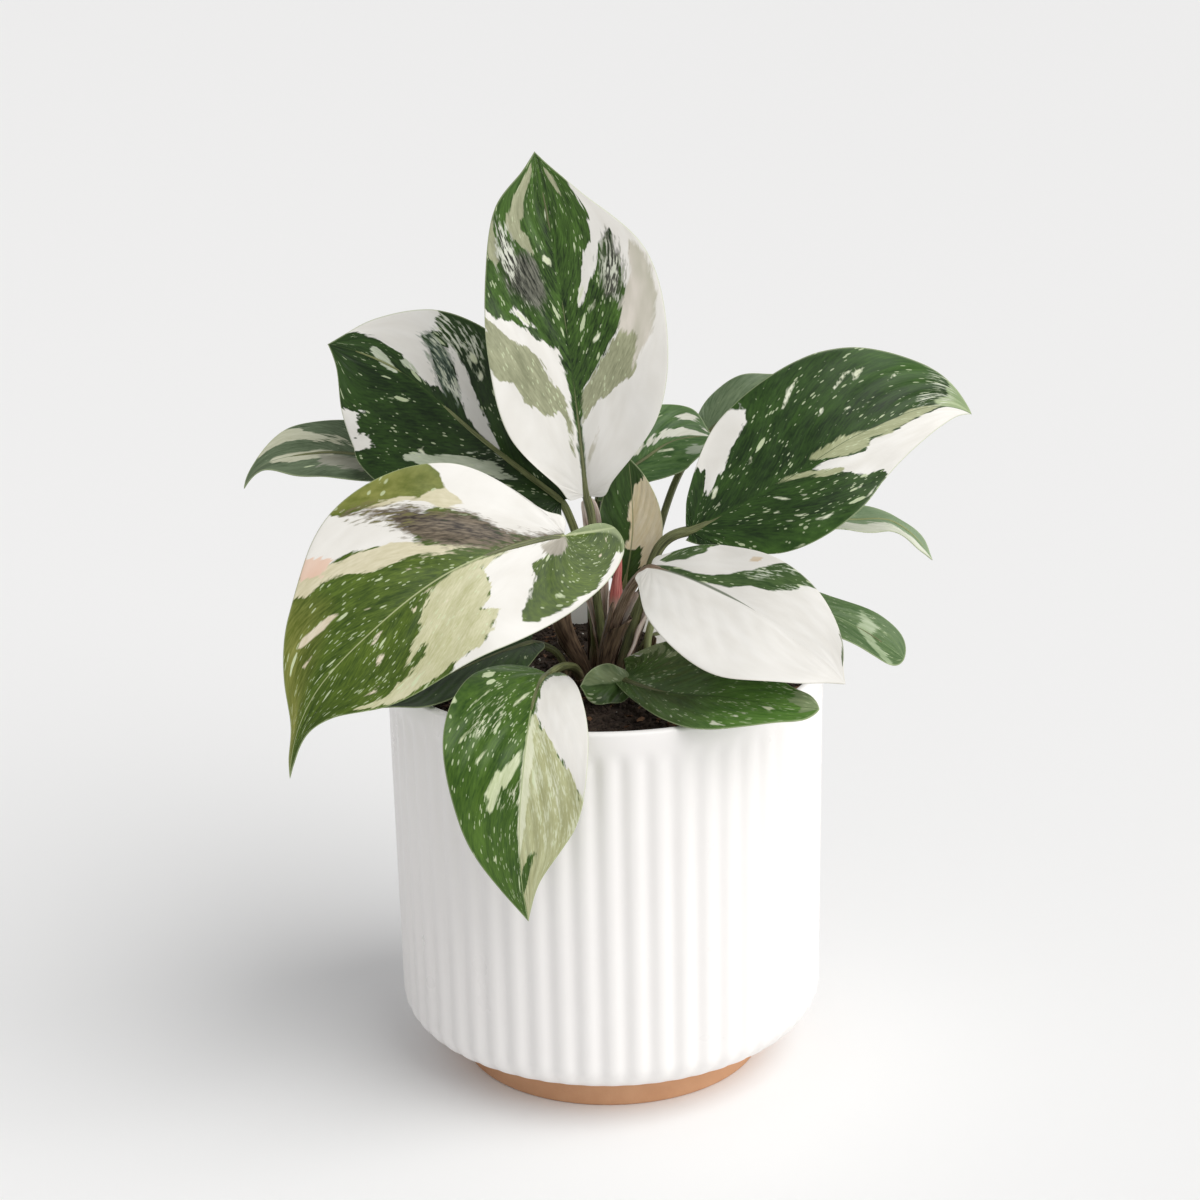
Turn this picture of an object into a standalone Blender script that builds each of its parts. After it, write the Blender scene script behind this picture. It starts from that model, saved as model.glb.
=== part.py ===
"""Potted philodendron: a fluted round pot on a bare foot, soil, and one node for each leaf with its stalk."""

import math

import bmesh
import bpy
import numpy as np
from mathutils import Matrix

# Driving dimensions are in millimetres. The pot's axis is x = y = 0, the table is z = 0, the front is -Y.
MM = 0.001
GAP = 0.3
WELD = 0.01

# Foot: a plain disc of bare clay that the pot stands on.
FOOT_RADIUS = 51.0
FOOT_HEIGHT = 9.6
FOOT_CHAMFER = 0.8
FOOT_STEPS = 64

# Pot: straight wall, rounded lower edge, flutes that fade out under a plain rim band.
POT_BOTTOM = FOOT_HEIGHT + GAP
POT_HEIGHT = 138.0
RIM_RADIUS = 72.0
RIM_ROUNDING = 1.3
WALL_FOOT_RADIUS = 71.3
WALL = 3.0
EDGE_WIDTH = 26.0
EDGE_HEIGHT = 14.0
EDGE_RINGS = (14.0, 8.0, 3.5, 1.0, 0.0)
FLOOR_THICKNESS = 4.5
FLOOR_RADIUS = 48.0
INNER_EDGE_HEIGHT = 19.0
INNER_TAPER = 0.7
FLUTES = 56
FLUTE_DEPTH = 0.9
RIM_BAND = 5.0
FLUTE_FADE = 4.0
FLUTE_LOW_FADE = 3.0

# Soil: a low mound inside the wall, with one plain hole for each stalk.
SOIL_STEPS = 40
SOIL_EDGE_TOP = 128.5
SOIL_SHOULDER_RADIUS = 30.0
SOIL_SHOULDER_TOP = 130.5
SOIL_CENTRE_TOP = 131.0
HOLE_FLOOR = 111.5
HOLE_CLEARANCE = 0.45
HOLE_SIDES = 8

# Blades: half-widths are given at these shares of the midrib, and the thickness lies under the upper face.
# A basal lobe swells over LOBE_TURN of its reach and of the first half-width, and ends at LOBE_WIDTH of it.
STATIONS = (0.04, 0.22, 0.45, 0.68, 0.87)
BLADE_THICKNESS = 0.8
LOBE_WIDTH = 0.35
LOBE_TURN = (0.55, 0.68)
VEIN_FAN = 0.16
VEIN_LAG = 1.12
VEIN_BOW = 1.2
WAVE_COUNT = 2.5
WAVE_HEIGHT = 0.8
WAVE_LAG = 1.9
LARGE_GRID = (14, 3)
SMALL_GRID = (10, 2)
NEAR_LOBE_GRID = (6, 2)

# Stalks stand upright in their holes and taper to the seat. A large leaf's stalk runs on under it as a rib,
# whose radius and drop below the upper face are shares of the stalk's radius that end in millimetres.
STALK_BOTTOM = 112.0
STALK_STRAIGHT_TO = 132.0
STALK_TAPER = 0.85
STALK_SEAT_DROP = 0.6
STALK_RINGS = 12
SMALL_STALK_RINGS = 10
RIB_RINGS = 7
RIB_SHARES = (0, 0.25, 0.9)
RIB_THICKNESS = (0.85, 0.6)
RIB_DROP = (0.6, 0.5)
RIB_TIP = (0.3, 0.45)

# Colours of the leaves: plain green, green with cream or sage, and mostly cream.
GREEN = (0.08, 0.2, 0.05)
MIXED = (0.27, 0.38, 0.2)
CREAM = (0.62, 0.66, 0.5)

# Each leaf: midrib points from seat to tip, which way the upper face looks from seat to tip, half-widths left
# and right as seen on the upper face with the tip up, how far each basal lobe reaches back, fold of each half
# in degrees at seat, middle and tip, where the stalk stands in the soil, stalk points above its straight
# root, colour, stalk radius.
LEAVES = {
    "leaf_top": {
        "midrib": [(-5, 5, 192), (-8, 5, 228), (-12, 9, 261), (-19, 14, 303)],
        "face": [(0.1, -1, 0.15), (0.05, -1, 0.1)],
        "left": (9, 24, 27, 22, 14),
        "right": (9, 26, 32, 29, 11),
        "lobes": (0, 0),
        "fold": [(20, 12, 12), (20, 8, 8)],
        "root": (0, 3),
        "stalk": [(-1, 3, 147), (-3, 3, 166), (-3, 5, 182)],
        "colour": MIXED,
        "radius": 1.6,
    },
    "leaf_upper_left": {
        "midrib": [(-13, 8, 190), (-40, 17, 210), (-66, 25, 231), (-89, 26, 240)],
        "face": [(-0.2, -1, 0.55), (-0.35, -1, 0.3)],
        "left": (18, 29, 33, 30, 19),
        "right": (14, 26, 28, 23, 10),
        "lobes": (5, 5),
        "fold": [(10, 6, 0), (15, 10, 0)],
        "root": (-4, 9),
        "stalk": [(-3, 9, 142), (-5, 9, 161), (-8, 9, 176)],
        "colour": GREEN,
        "radius": 1.6,
    },
    "leaf_front_left": {
        "midrib": [(-12, -16, 185), (-46, -30, 179), (-71, -42, 164), (-92, -52, 143), (-99, -58, 120)],
        "face": [(0.1, -1, 0.5), (-0.45, -1, 0.25)],
        "left": (26, 30, 28, 21, 4),
        "right": (9, 32, 37, 22, 3),
        "lobes": (19, 1),
        "lobe_width": -0.12,
        "fold": [(14, 6, 6), (6, 3, 4)],
        "root": (-6, -2),
        "stalk": [(-14, -8, 153), (-15, -13, 170), (-13, -16, 180)],
        "colour": MIXED,
        "radius": 1.7,
    },
    "leaf_front": {
        "midrib": [(-18, -37, 146), (-22, -62, 147), (-25, -84, 134), (-27, -90, 110), (-25, -87, 83)],
        "face": [(0, -0.25, 1), (0, -1, 0.5), (0, -1, 0.1)],
        "left": (5, 14, 19, 17, 5),
        "right": (13, 21, 25, 18, 7),
        "lobes": (1, 6),
        "fold": [(10, 5, 5), (10, 5, 5)],
        "root": (-8, -9),
        "stalk": [(-9, -13, 138), (-13, -25, 144)],
        "colour": MIXED,
        "radius": 1.6,
    },
    "leaf_right": {
        "midrib": [(29, 0, 181), (58, 1, 196), (83, 7, 210), (109, 16, 217), (123, 21, 213)],
        "face": [(-0.2, -1, 0.35), (0.15, -1, 0.45)],
        "left": (11, 27, 31, 27, 12),
        "right": (8, 21, 22, 14, 7),
        "lobes": (6, 2),
        "fold": [(14, 8, 6), (14, 10, 10)],
        "root": (5, -1),
        "stalk": [(9, 0, 147), (14, 2, 163), (20, 2, 177)],
        "colour": GREEN,
        "radius": 2.0,
    },
    "leaf_white_right": {
        "midrib": [(15, -19, 175), (30, -37, 175), (47, -54, 170), (72, -76, 154)],
        "face": [(0.2, -1, 0.8), (0.45, -1, 0.6)],
        "left": (6, 15, 19, 18, 10),
        "right": (9, 20, 27, 26, 13),
        "lobes": (1, 2),
        "fold": [(8, 4, 4), (8, 4, 4)],
        "root": (-1, -5),
        "stalk": [(4, -9, 154), (11, -15, 170)],
        "colour": CREAM,
        "radius": 2.0,
    },
    "leaf_low_right": {
        "midrib": [(6, -25, 139), (22, -50, 143), (36, -63, 146), (49, -72, 147), (64, -78, 147)],
        "face": [(0.05, -0.8, 1), (0.1, -0.6, 1)],
        "left": (22, 23, 21, 15, 7),
        "right": (4, 8, 14, 15, 8),
        "lobes": (13, 1),
        "fold": [(10, 8, 6), (10, 8, 6)],
        "root": (3, -10),
        "stalk": [(4, -13, 137), (5, -19, 139)],
        "colour": GREEN,
        "radius": 1.6,
        "near_lobe": {
            "midrib": [(8, -25, 138), (-1, -28, 138), (-8, -31, 139)],
            "face": [(0, -1, 0.5), (-0.2, -1, 0.4)],
            "left": (4, 6, 6, 6, 4),
            "right": (4, 6, 7, 6, 4),
            "lobes": (0, 0),
            "fold": [(6, 6, 6), (6, 6, 6)],
        },
    },
    "leaf_far_left": {
        "midrib": [(-57, 24, 197), (-83, 30, 202), (-96, 32, 202), (-114, 31, 198), (-120, 28, 191)],
        "face": [(0, -0.8, 1), (-0.3, -0.6, 0.6)],
        "left": (7, 10, 12, 9, 2),
        "right": (7, 10, 12, 11, 3),
        "lobes": (3, 3),
        "fold": [(10, 10, 10), (10, 10, 10)],
        "root": (-10, 2),
        "stalk": [(-11, 5, 143), (-25, 15, 175)],
        "colour": MIXED,
        "radius": 1.4,
    },
    "leaf_back_right": {
        "midrib": [(-1, 20, 189), (13, 26, 198), (25, 31, 204), (38, 34, 204)],
        "face": [(0, -0.8, 1), (0.1, -0.8, 1)],
        "left": (8, 11, 14, 15, 11),
        "right": (5, 7, 12, 13, 9),
        "lobes": (2, 2),
        "fold": [(10, 10, 10), (10, 10, 10)],
        "root": (-4, 15),
        "stalk": [(-4, 18, 160)],
        "colour": MIXED,
        "radius": 1.4,
    },
    "leaf_back_upper_right": {
        "midrib": [(35, 42, 202), (49, 46, 212), (65, 49, 218), (77, 50, 220)],
        "face": [(-0.3, -0.8, 0.8), (0, -0.8, 0.8)],
        "left": (6, 10, 10, 6, 3),
        "right": (8, 12, 14, 12, 7),
        "lobes": (3, 3),
        "fold": [(10, 10, 10), (10, 10, 10)],
        "root": (9, 9),
        "stalk": [(15, 20, 160), (26, 36, 190)],
        "colour": GREEN,
        "radius": 1.4,
    },
    "leaf_centre": {
        "midrib": [(7, 11, 160), (10, 12, 177), (10, 13, 190), (9, 14, 203)],
        "face": [(0, -1, 0.2), (0, -1, 0.1)],
        "left": (5, 10, 12, 10, 6),
        "right": (5, 9, 10, 8, 4),
        "lobes": (0, 0),
        "fold": [(10, 10, 10), (10, 10, 10)],
        "root": (3, 11),
        "stalk": [(4, 11, 146)],
        "colour": MIXED,
        "radius": 1.4,
    },
    "leaf_far_right": {
        "midrib": [(63, 28, 179), (84, 32, 175), (99, 32, 174), (112, 28, 161)],
        "face": [(0, -0.3, 1), (0.3, -0.5, 1)],
        "left": (5, 7, 6, 3, 2),
        "right": (6, 9, 9, 7, 4),
        "lobes": (3, 3),
        "fold": [(10, 10, 10), (10, 10, 10)],
        "root": (14, -3),
        "stalk": [(15, -1, 148), (24, 6, 163), (42, 20, 175)],
        "colour": CREAM,
        "radius": 1.3,
    },
    "leaf_low_far_right": {
        "midrib": [(16, 5, 144), (39, 20, 144), (66, 32, 144), (86, 36, 136), (104, 36, 123)],
        "face": [(0.1, -0.5, 1), (0.4, -0.5, 1)],
        "left": (8, 11, 10, 9, 10),
        "right": (8, 12, 12, 12, 12),
        "lobes": (3, 3),
        "fold": [(10, 10, 10), (10, 10, 10)],
        "root": (11, 3),
        "stalk": [(12, 4, 139)],
        "colour": GREEN,
        "radius": 1.4,
    },
    "leaf_low_left": {
        "midrib": [(-24, -8, 147), (-40, -20, 145), (-56, -33, 142), (-71, -46, 139)],
        "face": [(0.1, -0.35, 1), (-0.1, -0.35, 1)],
        "left": (8, 14, 15, 13, 11),
        "right": (8, 17, 17, 15, 8),
        "lobes": (3, 3),
        "fold": [(10, 10, 10), (10, 10, 10)],
        "root": (-13, -4),
        "stalk": [(-15, -5, 141)],
        "colour": GREEN,
        "radius": 1.4,
    },
}
LARGE_LEAVES = (
    "leaf_top",
    "leaf_upper_left",
    "leaf_front_left",
    "leaf_front",
    "leaf_right",
    "leaf_white_right",
)

# New shoot: a rolled spindle, given as points with a radius.
SHOOT = [
    (4, 5, 112, 2.2),
    (4, 5, 132, 2.5),
    (4, 5, 148, 2.8),
    (4, 5, 158, 2.4),
    (5, 5, 166, 1.6),
    (6, 5, 173, 0.5),
]
SHOOT_RINGS = 12


def material(name, colour, roughness):
    made = bpy.data.materials.new(name)
    made.use_nodes = True
    shader = made.node_tree.nodes["Principled BSDF"]
    shader.inputs["Base Color"].default_value = (*colour, 1)
    shader.inputs["Roughness"].default_value = roughness
    return made


def add_mesh(name, points, edges, faces, into):
    """A mesh object from points in millimetres."""
    data = bpy.data.meshes.new(name)
    data.from_pydata([tuple(p * MM for p in point) for point in points], edges, faces)
    made = bpy.data.objects.new(name, data)
    into.objects.link(made)
    return made


def weld(data, distance):
    """Joins coincident points of mesh data, drops what collapsed and turns the faces outwards."""
    work = bmesh.new()
    work.from_mesh(data)
    bmesh.ops.remove_doubles(work, verts=work.verts, dist=distance * MM)
    bmesh.ops.dissolve_degenerate(work, edges=work.edges, dist=distance * MM)
    bmesh.ops.recalc_face_normals(work, faces=work.faces)
    work.to_mesh(data)
    work.free()


def evaluated_mesh(made):
    """The object's shape with its modifiers applied, as new mesh data."""
    bpy.context.view_layer.update()
    graph = bpy.context.evaluated_depsgraph_get()
    data = bpy.data.meshes.new_from_object(made.evaluated_get(graph))
    data.transform(made.matrix_world)
    weld(data, 0.1 * WELD)
    return data


def bake(made):
    """Applies the modifiers of a mesh object."""
    data = evaluated_mesh(made)
    made.modifiers.clear()
    made.data = data
    return made


def dress(made, worn):
    """Gives a finished piece its material and smooth shading between sharp edges."""
    made.data.materials.append(worn)
    made.data.shade_smooth()
    made.data.set_sharp_from_angle(angle=math.radians(40))


def lathe(name, profile, steps, into):
    """A Screw of the profile, (radius, height) points from top to bottom on the outer side."""
    edges = [(i, i + 1) for i in range(len(profile) - 1)]
    made = add_mesh(name, [(radius, 0, height) for radius, height in profile], edges, [], into)
    screw = made.modifiers.new("turn", "SCREW")
    screw.steps = steps
    screw.render_steps = steps
    screw.use_merge_vertices = True
    screw.merge_threshold = WELD * MM
    return bake(made)


def tube(name, points, radii, into):
    """A round stalk through the points, as a mesh, with its ends closed."""
    curve = bpy.data.curves.new(name, "CURVE")
    curve.dimensions = "3D"
    curve.bevel_depth = MM
    curve.bevel_resolution = 1
    curve.use_fill_caps = True
    line = curve.splines.new("POLY")
    line.points.add(len(points) - 1)
    for point, place, radius in zip(line.points, points, radii):
        point.co = (*(c * MM for c in place), 1)
        point.radius = radius
    drawn = bpy.data.objects.new(name + "_curve", curve)
    into.objects.link(drawn)
    made = bpy.data.objects.new(name, evaluated_mesh(drawn))
    bpy.data.objects.remove(drawn)
    into.objects.link(made)
    return made


def combine(made, others, operation, solver):
    """Joins the other objects to this one, or cuts them from it, with one Boolean, and removes them."""
    group = bpy.data.collections.new(made.name + "_tools")
    group.hide_render = True
    bpy.context.scene.collection.children.link(group)
    for other in others:
        for holder in list(other.users_collection):
            holder.objects.unlink(other)
        group.objects.link(other)
        other.hide_render = True
        other.display_type = "WIRE"
    step = made.modifiers.new("combine", "BOOLEAN")
    step.operation = operation
    step.operand_type = "COLLECTION"
    step.collection = group
    step.solver = solver
    bake(made)
    for other in others:
        bpy.data.objects.remove(other)
    bpy.data.collections.remove(group)
    return made


def unit(vectors):
    return vectors / np.linalg.norm(vectors, axis=-1, keepdims=True)


def smooth_line(points, count=200):
    """A smooth line through the points, evenly spaced by length, and its length."""
    points = np.array(points, float)
    last = len(points) - 1
    steps = np.linalg.norm(np.diff(points, axis=0), axis=1) ** 0.5
    knots = np.concatenate([[0], np.cumsum(steps)])
    slopes = np.diff(points, axis=0) / steps[:, None]
    weighed = slopes[:-1] * steps[1:, None] + slopes[1:] * steps[:-1, None]
    inner = weighed / (steps[:-1] + steps[1:])[:, None]
    if last > 1:
        tangents = np.vstack([2 * slopes[0] - inner[0], inner, 2 * slopes[-1] - inner[-1]])
    else:
        tangents = np.vstack([slopes[0], slopes[0]])
    along = np.linspace(0, knots[-1], 4 * count)
    k = np.clip(np.searchsorted(knots, along, side="right") - 1, 0, last - 1)
    width = steps[k][:, None]
    s = (along - knots[k])[:, None] / width
    line = (
        (2 * s**3 - 3 * s**2 + 1) * points[k]
        + (s**3 - 2 * s**2 + s) * width * tangents[k]
        + (3 * s**2 - 2 * s**3) * points[k + 1]
        + (s**3 - s**2) * width * tangents[k + 1]
    )
    length = np.concatenate([[0], np.cumsum(np.linalg.norm(np.diff(line, axis=0), axis=1))])
    even = np.linspace(0, length[-1], count)
    spaced = [np.interp(even, length, line[:, i]) for i in range(points.shape[1])]
    return np.stack(spaced, -1), length[-1]


def sample(line, share):
    """Points of an evenly spaced line at shares of its length."""
    place = np.clip(share, 0, 1) * (len(line) - 1)
    low = np.clip(place.astype(int), 0, len(line) - 2)
    part = (place - low)[..., None]
    return line[low] * (1 - part) + line[low + 1] * part


def directions(leaf, midrib):
    """The way the midrib runs, the way the upper face looks and the way across, all along the midrib."""
    tangent = unit(np.gradient(midrib, axis=0))
    looks = unit(np.array(leaf["face"], float))
    face = sample(looks, np.linspace(0, 1, len(midrib)))
    normal = unit(face - (face * tangent).sum(1, keepdims=True) * tangent)
    return tangent, normal, np.cross(tangent, normal)


def flat_half(leaf, side, length, rows, columns):
    """One half of the flat blade: where each vein row meets each column, along and aside of the midrib."""
    half = 0 if side < 0 else 1
    widths = leaf[("left", "right")[half]]
    lobe = leaf["lobes"][half]
    outline = [(-lobe, leaf.get("lobe_width", LOBE_WIDTH) * widths[0])]
    outline += [(-LOBE_TURN[0] * lobe, LOBE_TURN[1] * widths[0])]
    outline += [(t * length, w) for t, w in zip(STATIONS, widths)] + [(length, 0)]
    share = np.linspace(0, 1, rows + 1)
    edge = sample(smooth_line(outline)[0], share)
    foot = length * np.clip((share - VEIN_FAN) / (1 - VEIN_FAN), 0, 1) ** VEIN_LAG
    across = np.linspace(0, 1, columns + 1)[:, None]
    along = foot + (edge[:, 0] - foot) * across**VEIN_BOW
    aside = side * edge[:, 1] * across
    return along.T, aside.T, share[:, None] + 0 * across.T, 0 * share[:, None] + across.T


def bend(leaf, midrib, length, along, aside, share, across):
    """Places flat blade points in space on the bent, folded and waved leaf."""
    tangent, normal, sideways = directions(leaf, midrib)
    at = along / length
    folds = [np.interp(at, (0, 0.5, 1), fold) for fold in leaf["fold"]]
    fold = np.radians(np.where(aside < 0, *folds))
    turn = 2 * math.pi * WAVE_COUNT * share + WAVE_LAG * (aside > 0)
    wave = WAVE_HEIGHT * np.sin(turn) * across**2 * np.sin(math.pi * share)
    outward = (aside * np.cos(fold))[..., None] * unit(sample(sideways, at))
    upward = (np.abs(aside) * np.sin(fold) + wave)[..., None] * unit(sample(normal, at))
    backward = np.minimum(along, 0)[..., None] * unit(sample(tangent, at))
    return sample(midrib, at) + backward + outward + upward


def blade(name, leaf, grid, into):
    """The blade as a thin solid, split into triangles that mirror each other at the midrib."""
    rows, columns = grid
    midrib, length = smooth_line(leaf["midrib"])
    left = flat_half(leaf, -1, length, rows, columns)
    right = flat_half(leaf, 1, length, rows, columns)
    whole = [np.concatenate([a[:, :0:-1], b], axis=1) for a, b in zip(left, right)]
    points = bend(leaf, midrib, length, *whole)
    wide = 2 * columns + 1
    faces = []
    for row in range(rows):
        for column in range(2 * columns):
            a = row * wide + column
            b, c, d = a + 1, a + wide + 1, a + wide
            mirrored = column >= columns
            faces += [(a, b, c), (a, c, d)] if mirrored else [(a, b, d), (b, c, d)]
    made = add_mesh(name, points.reshape(-1, 3), [], faces, into)
    weld(made.data, WELD)
    skin = made.modifiers.new("thickness", "SOLIDIFY")
    skin.thickness = BLADE_THICKNESS * MM
    skin.offset = -1
    return bake(made)


def stalk(name, leaf, rings, into):
    """The leaf's stalk, from its hole in the soil to just under the seat of the blade."""
    midrib, _ = smooth_line(leaf["midrib"])
    normal = directions(leaf, midrib)[1]
    radius = leaf["radius"]
    x, y = leaf["root"]
    middle = (STALK_BOTTOM + STALK_STRAIGHT_TO) / 2
    root = [(x, y, STALK_BOTTOM), (x, y, middle), (x, y, STALK_STRAIGHT_TO)]
    seat = midrib[0] - normal[0] * STALK_SEAT_DROP * radius
    path, _ = smooth_line(root + leaf["stalk"] + [tuple(seat)])
    radii = np.linspace(radius, STALK_TAPER * radius, rings)
    return tube(name + "_stalk", sample(path, np.linspace(0, 1, rings)), radii, into)


def rib(name, leaf, into):
    """The thick midrib that stands out under a large blade."""
    midrib, _ = smooth_line(leaf["midrib"])
    normal = directions(leaf, midrib)[1]
    radius = leaf["radius"]
    share = np.linspace(0, RIB_SHARES[-1], RIB_RINGS)
    radii = np.interp(share, RIB_SHARES, [s * radius for s in RIB_THICKNESS] + [RIB_TIP[0]])
    drop = np.interp(share, RIB_SHARES, [s * radius for s in RIB_DROP] + [RIB_TIP[1]])
    line = sample(midrib, share) - drop[:, None] * unit(sample(normal, share))
    return tube(name + "_rib", line, radii, into)


def leaf_node(name, leaf, into):
    """One leaf as it grew: blade and stalk, with a large leaf's rib and the second lobe of a cleft blade."""
    large = name in LARGE_LEAVES
    made = blade(name, leaf, LARGE_GRID if large else SMALL_GRID, into)
    joined = [stalk(name, leaf, STALK_RINGS if large else SMALL_STALK_RINGS, into)]
    if large:
        joined.append(rib(name, leaf, into))
    if "near_lobe" in leaf:
        joined.append(blade(name + "_near_lobe", leaf["near_lobe"], NEAR_LOBE_GRID, into))
    return combine(made, joined, "UNION", "MANIFOLD")


def pot_outer(z):
    """Outer radius of the plain wall at a height. The lower edge is a quarter of an ellipse."""
    straight = POT_BOTTOM + EDGE_HEIGHT
    if z < straight:
        drop = (straight - z) / EDGE_HEIGHT
        return WALL_FOOT_RADIUS - EDGE_WIDTH * (1 - math.sqrt(max(0, 1 - drop * drop)))
    rise = (z - straight) / (POT_HEIGHT - straight)
    return WALL_FOOT_RADIUS + (RIM_RADIUS - WALL_FOOT_RADIUS) * rise


def flute_share(z):
    """How deep the flutes are at a height, from 0 under the rim to 1 on the wall and 0 at the lower edge."""
    from_rim = (POT_HEIGHT - RIM_BAND - z) / FLUTE_FADE
    from_bottom = (z - POT_BOTTOM) / FLUTE_LOW_FADE
    return min(1, max(0, from_rim)) * min(1, max(0, from_bottom))


def make_pot(into):
    """The fluted wall is a ring of points about the axis, whose radius swings in and out with the angle."""
    inner_floor = POT_BOTTOM + FLOOR_THICKNESS
    inner_edge = POT_BOTTOM + INNER_EDGE_HEIGHT
    band = POT_HEIGHT - RIM_BAND
    outer = [POT_HEIGHT - RIM_ROUNDING, band, band - FLUTE_FADE]
    outer += [POT_BOTTOM + rise for rise in EDGE_RINGS]
    rings = [(RIM_RADIUS - WALL + RIM_ROUNDING, POT_HEIGHT, 0), (RIM_RADIUS - RIM_ROUNDING, POT_HEIGHT, 0)]
    rings += [(pot_outer(z), z, flute_share(z)) for z in outer]
    rings += [(0, POT_BOTTOM, 0), (0, inner_floor, 0), (FLOOR_RADIUS, inner_floor, 0)]
    rings += [(RIM_RADIUS - WALL - INNER_TAPER, inner_edge, 0)]
    rings += [(RIM_RADIUS - WALL, POT_HEIGHT - RIM_ROUNDING, 0)]
    count = 2 * FLUTES
    points, faces = [], []
    for radius, z, share in rings:
        for step in range(count):
            angle = 2 * math.pi * step / count
            r = radius - FLUTE_DEPTH * share * (step % 2)
            points.append((r * math.cos(angle), r * math.sin(angle), z))
    for ring in range(len(rings)):
        after = (ring + 1) % len(rings)
        if rings[ring][0] == rings[after][0] == 0:
            continue
        for step in range(count):
            turned = (step + 1) % count
            near = (ring * count + step, after * count + step)
            far = (after * count + turned, ring * count + turned)
            faces.append(near + far)
    made = add_mesh("pot_body", points, [], faces, into)
    weld(made.data, WELD)
    return made


def make_foot(into):
    profile = [(0, FOOT_HEIGHT), (FOOT_RADIUS, FOOT_HEIGHT), (FOOT_RADIUS, FOOT_CHAMFER)]
    profile += [(FOOT_RADIUS - FOOT_CHAMFER, 0), (0, 0)]
    return lathe("pot_foot", profile, FOOT_STEPS, into)


def make_soil(into):
    """The soil fills the pot. Each stalk and the shoot stand in a plain hole cut into it."""
    bottom = POT_BOTTOM + FLOOR_THICKNESS + GAP
    wall = RIM_RADIUS - WALL - INNER_TAPER - GAP
    profile = [(0, SOIL_CENTRE_TOP), (SOIL_SHOULDER_RADIUS, SOIL_SHOULDER_TOP), (wall - GAP, SOIL_EDGE_TOP)]
    profile += [(wall, POT_BOTTOM + INNER_EDGE_HEIGHT + GAP), (FLOOR_RADIUS - GAP, bottom), (0, bottom)]
    made = lathe("soil", profile, SOIL_STEPS, into)
    stands = [(*leaf["root"], leaf["radius"]) for leaf in LEAVES.values()]
    stands.append((*SHOOT[0][:2], SHOOT[1][3]))
    top = 2 * SOIL_CENTRE_TOP
    holes = []
    for x, y, radius in stands:
        r = radius + HOLE_CLEARANCE
        hole = lathe("hole", [(0, top), (r, top), (r, HOLE_FLOOR), (0, HOLE_FLOOR)], HOLE_SIDES, into)
        hole.data.transform(Matrix.Translation((x * MM, y * MM, 0)))
        holes.append(hole)
    return combine(made, holes, "DIFFERENCE", "EXACT")


def make_shoot(into):
    points = np.array(SHOOT, float)
    line, _ = smooth_line(points[:, :3])
    shares = np.linspace(0, 1, SHOOT_RINGS)
    steps = np.linalg.norm(np.diff(points[:, :3], axis=0), axis=1)
    reached = np.concatenate([[0], np.cumsum(steps)])
    radii = np.interp(shares, reached / reached[-1], points[:, 3])
    return tube("new_shoot", sample(line, shares), radii, into)


def main():
    for old in list(bpy.data.objects):
        bpy.data.objects.remove(old)
    plant = bpy.data.collections.new("potted_philodendron")
    bpy.context.scene.collection.children.link(plant)
    dress(make_pot(plant), material("white_glaze", (0.85, 0.85, 0.84), 0.2))
    dress(make_foot(plant), material("bare_terracotta", (0.46, 0.25, 0.14), 0.8))
    dress(make_soil(plant), material("dark_soil", (0.04, 0.03, 0.025), 0.95))
    dress(make_shoot(plant), material("pink_shoot", (0.55, 0.22, 0.2), 0.5))
    for name, leaf in LEAVES.items():
        dress(leaf_node(name, leaf, plant), material(name + "_skin", leaf["colour"], 0.35))


main()
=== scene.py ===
"""Looks of the potted philodendron: glazed fluted pot, bare clay foot, soil, leaves and the new shoot."""

import math

import bmesh
import bpy
import numpy as np
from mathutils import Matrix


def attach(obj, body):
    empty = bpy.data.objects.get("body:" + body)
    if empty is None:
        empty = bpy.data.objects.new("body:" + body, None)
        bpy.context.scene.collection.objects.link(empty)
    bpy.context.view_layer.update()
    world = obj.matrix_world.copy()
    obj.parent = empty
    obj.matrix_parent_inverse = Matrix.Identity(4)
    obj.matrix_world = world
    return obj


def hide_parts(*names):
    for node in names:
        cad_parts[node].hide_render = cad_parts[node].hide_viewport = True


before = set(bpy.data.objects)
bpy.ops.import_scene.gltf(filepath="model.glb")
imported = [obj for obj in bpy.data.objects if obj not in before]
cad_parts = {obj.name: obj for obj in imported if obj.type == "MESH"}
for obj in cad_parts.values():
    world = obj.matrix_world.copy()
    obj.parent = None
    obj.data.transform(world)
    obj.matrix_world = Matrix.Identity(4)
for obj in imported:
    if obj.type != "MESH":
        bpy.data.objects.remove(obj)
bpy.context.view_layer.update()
scene = bpy.context.scene

# Camera: a 75 mm lens a little over 80 cm from the plant. It looks down at the plant from the front and
# leans slightly to the right.
MM = 0.001
CAMERA_PLACE = (-1.2, -784.2, 404.4)
CAMERA_PITCH = math.radians(17.44)
CAMERA_ROLL = math.radians(-1.2)
lens = bpy.data.cameras.new("view")
lens.lens = 75
lens.sensor_width = 36
lens.clip_start = 0.01
lens.clip_end = 200
camera = bpy.data.objects.new("view", lens)
camera.rotation_mode = "ZXY"
camera.rotation_euler = (math.radians(90) - CAMERA_PITCH, 0, CAMERA_ROLL)
camera.location = [c * MM for c in CAMERA_PLACE]
scene.collection.objects.link(camera)
scene.camera = camera


# Floor and light: a wide pale matt floor under soft studio light, which is brightest from the right.
# Each material here and below takes its colours as sRGB hex values.
def linear(colour):
    """The linear colour of an sRGB hex value."""
    parts = [int(colour[i : i + 2], 16) / 255 for i in (1, 3, 5)]
    return (*[c / 12.92 if c <= 0.04045 else ((c + 0.055) / 1.055) ** 2.4 for c in parts], 1)


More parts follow.
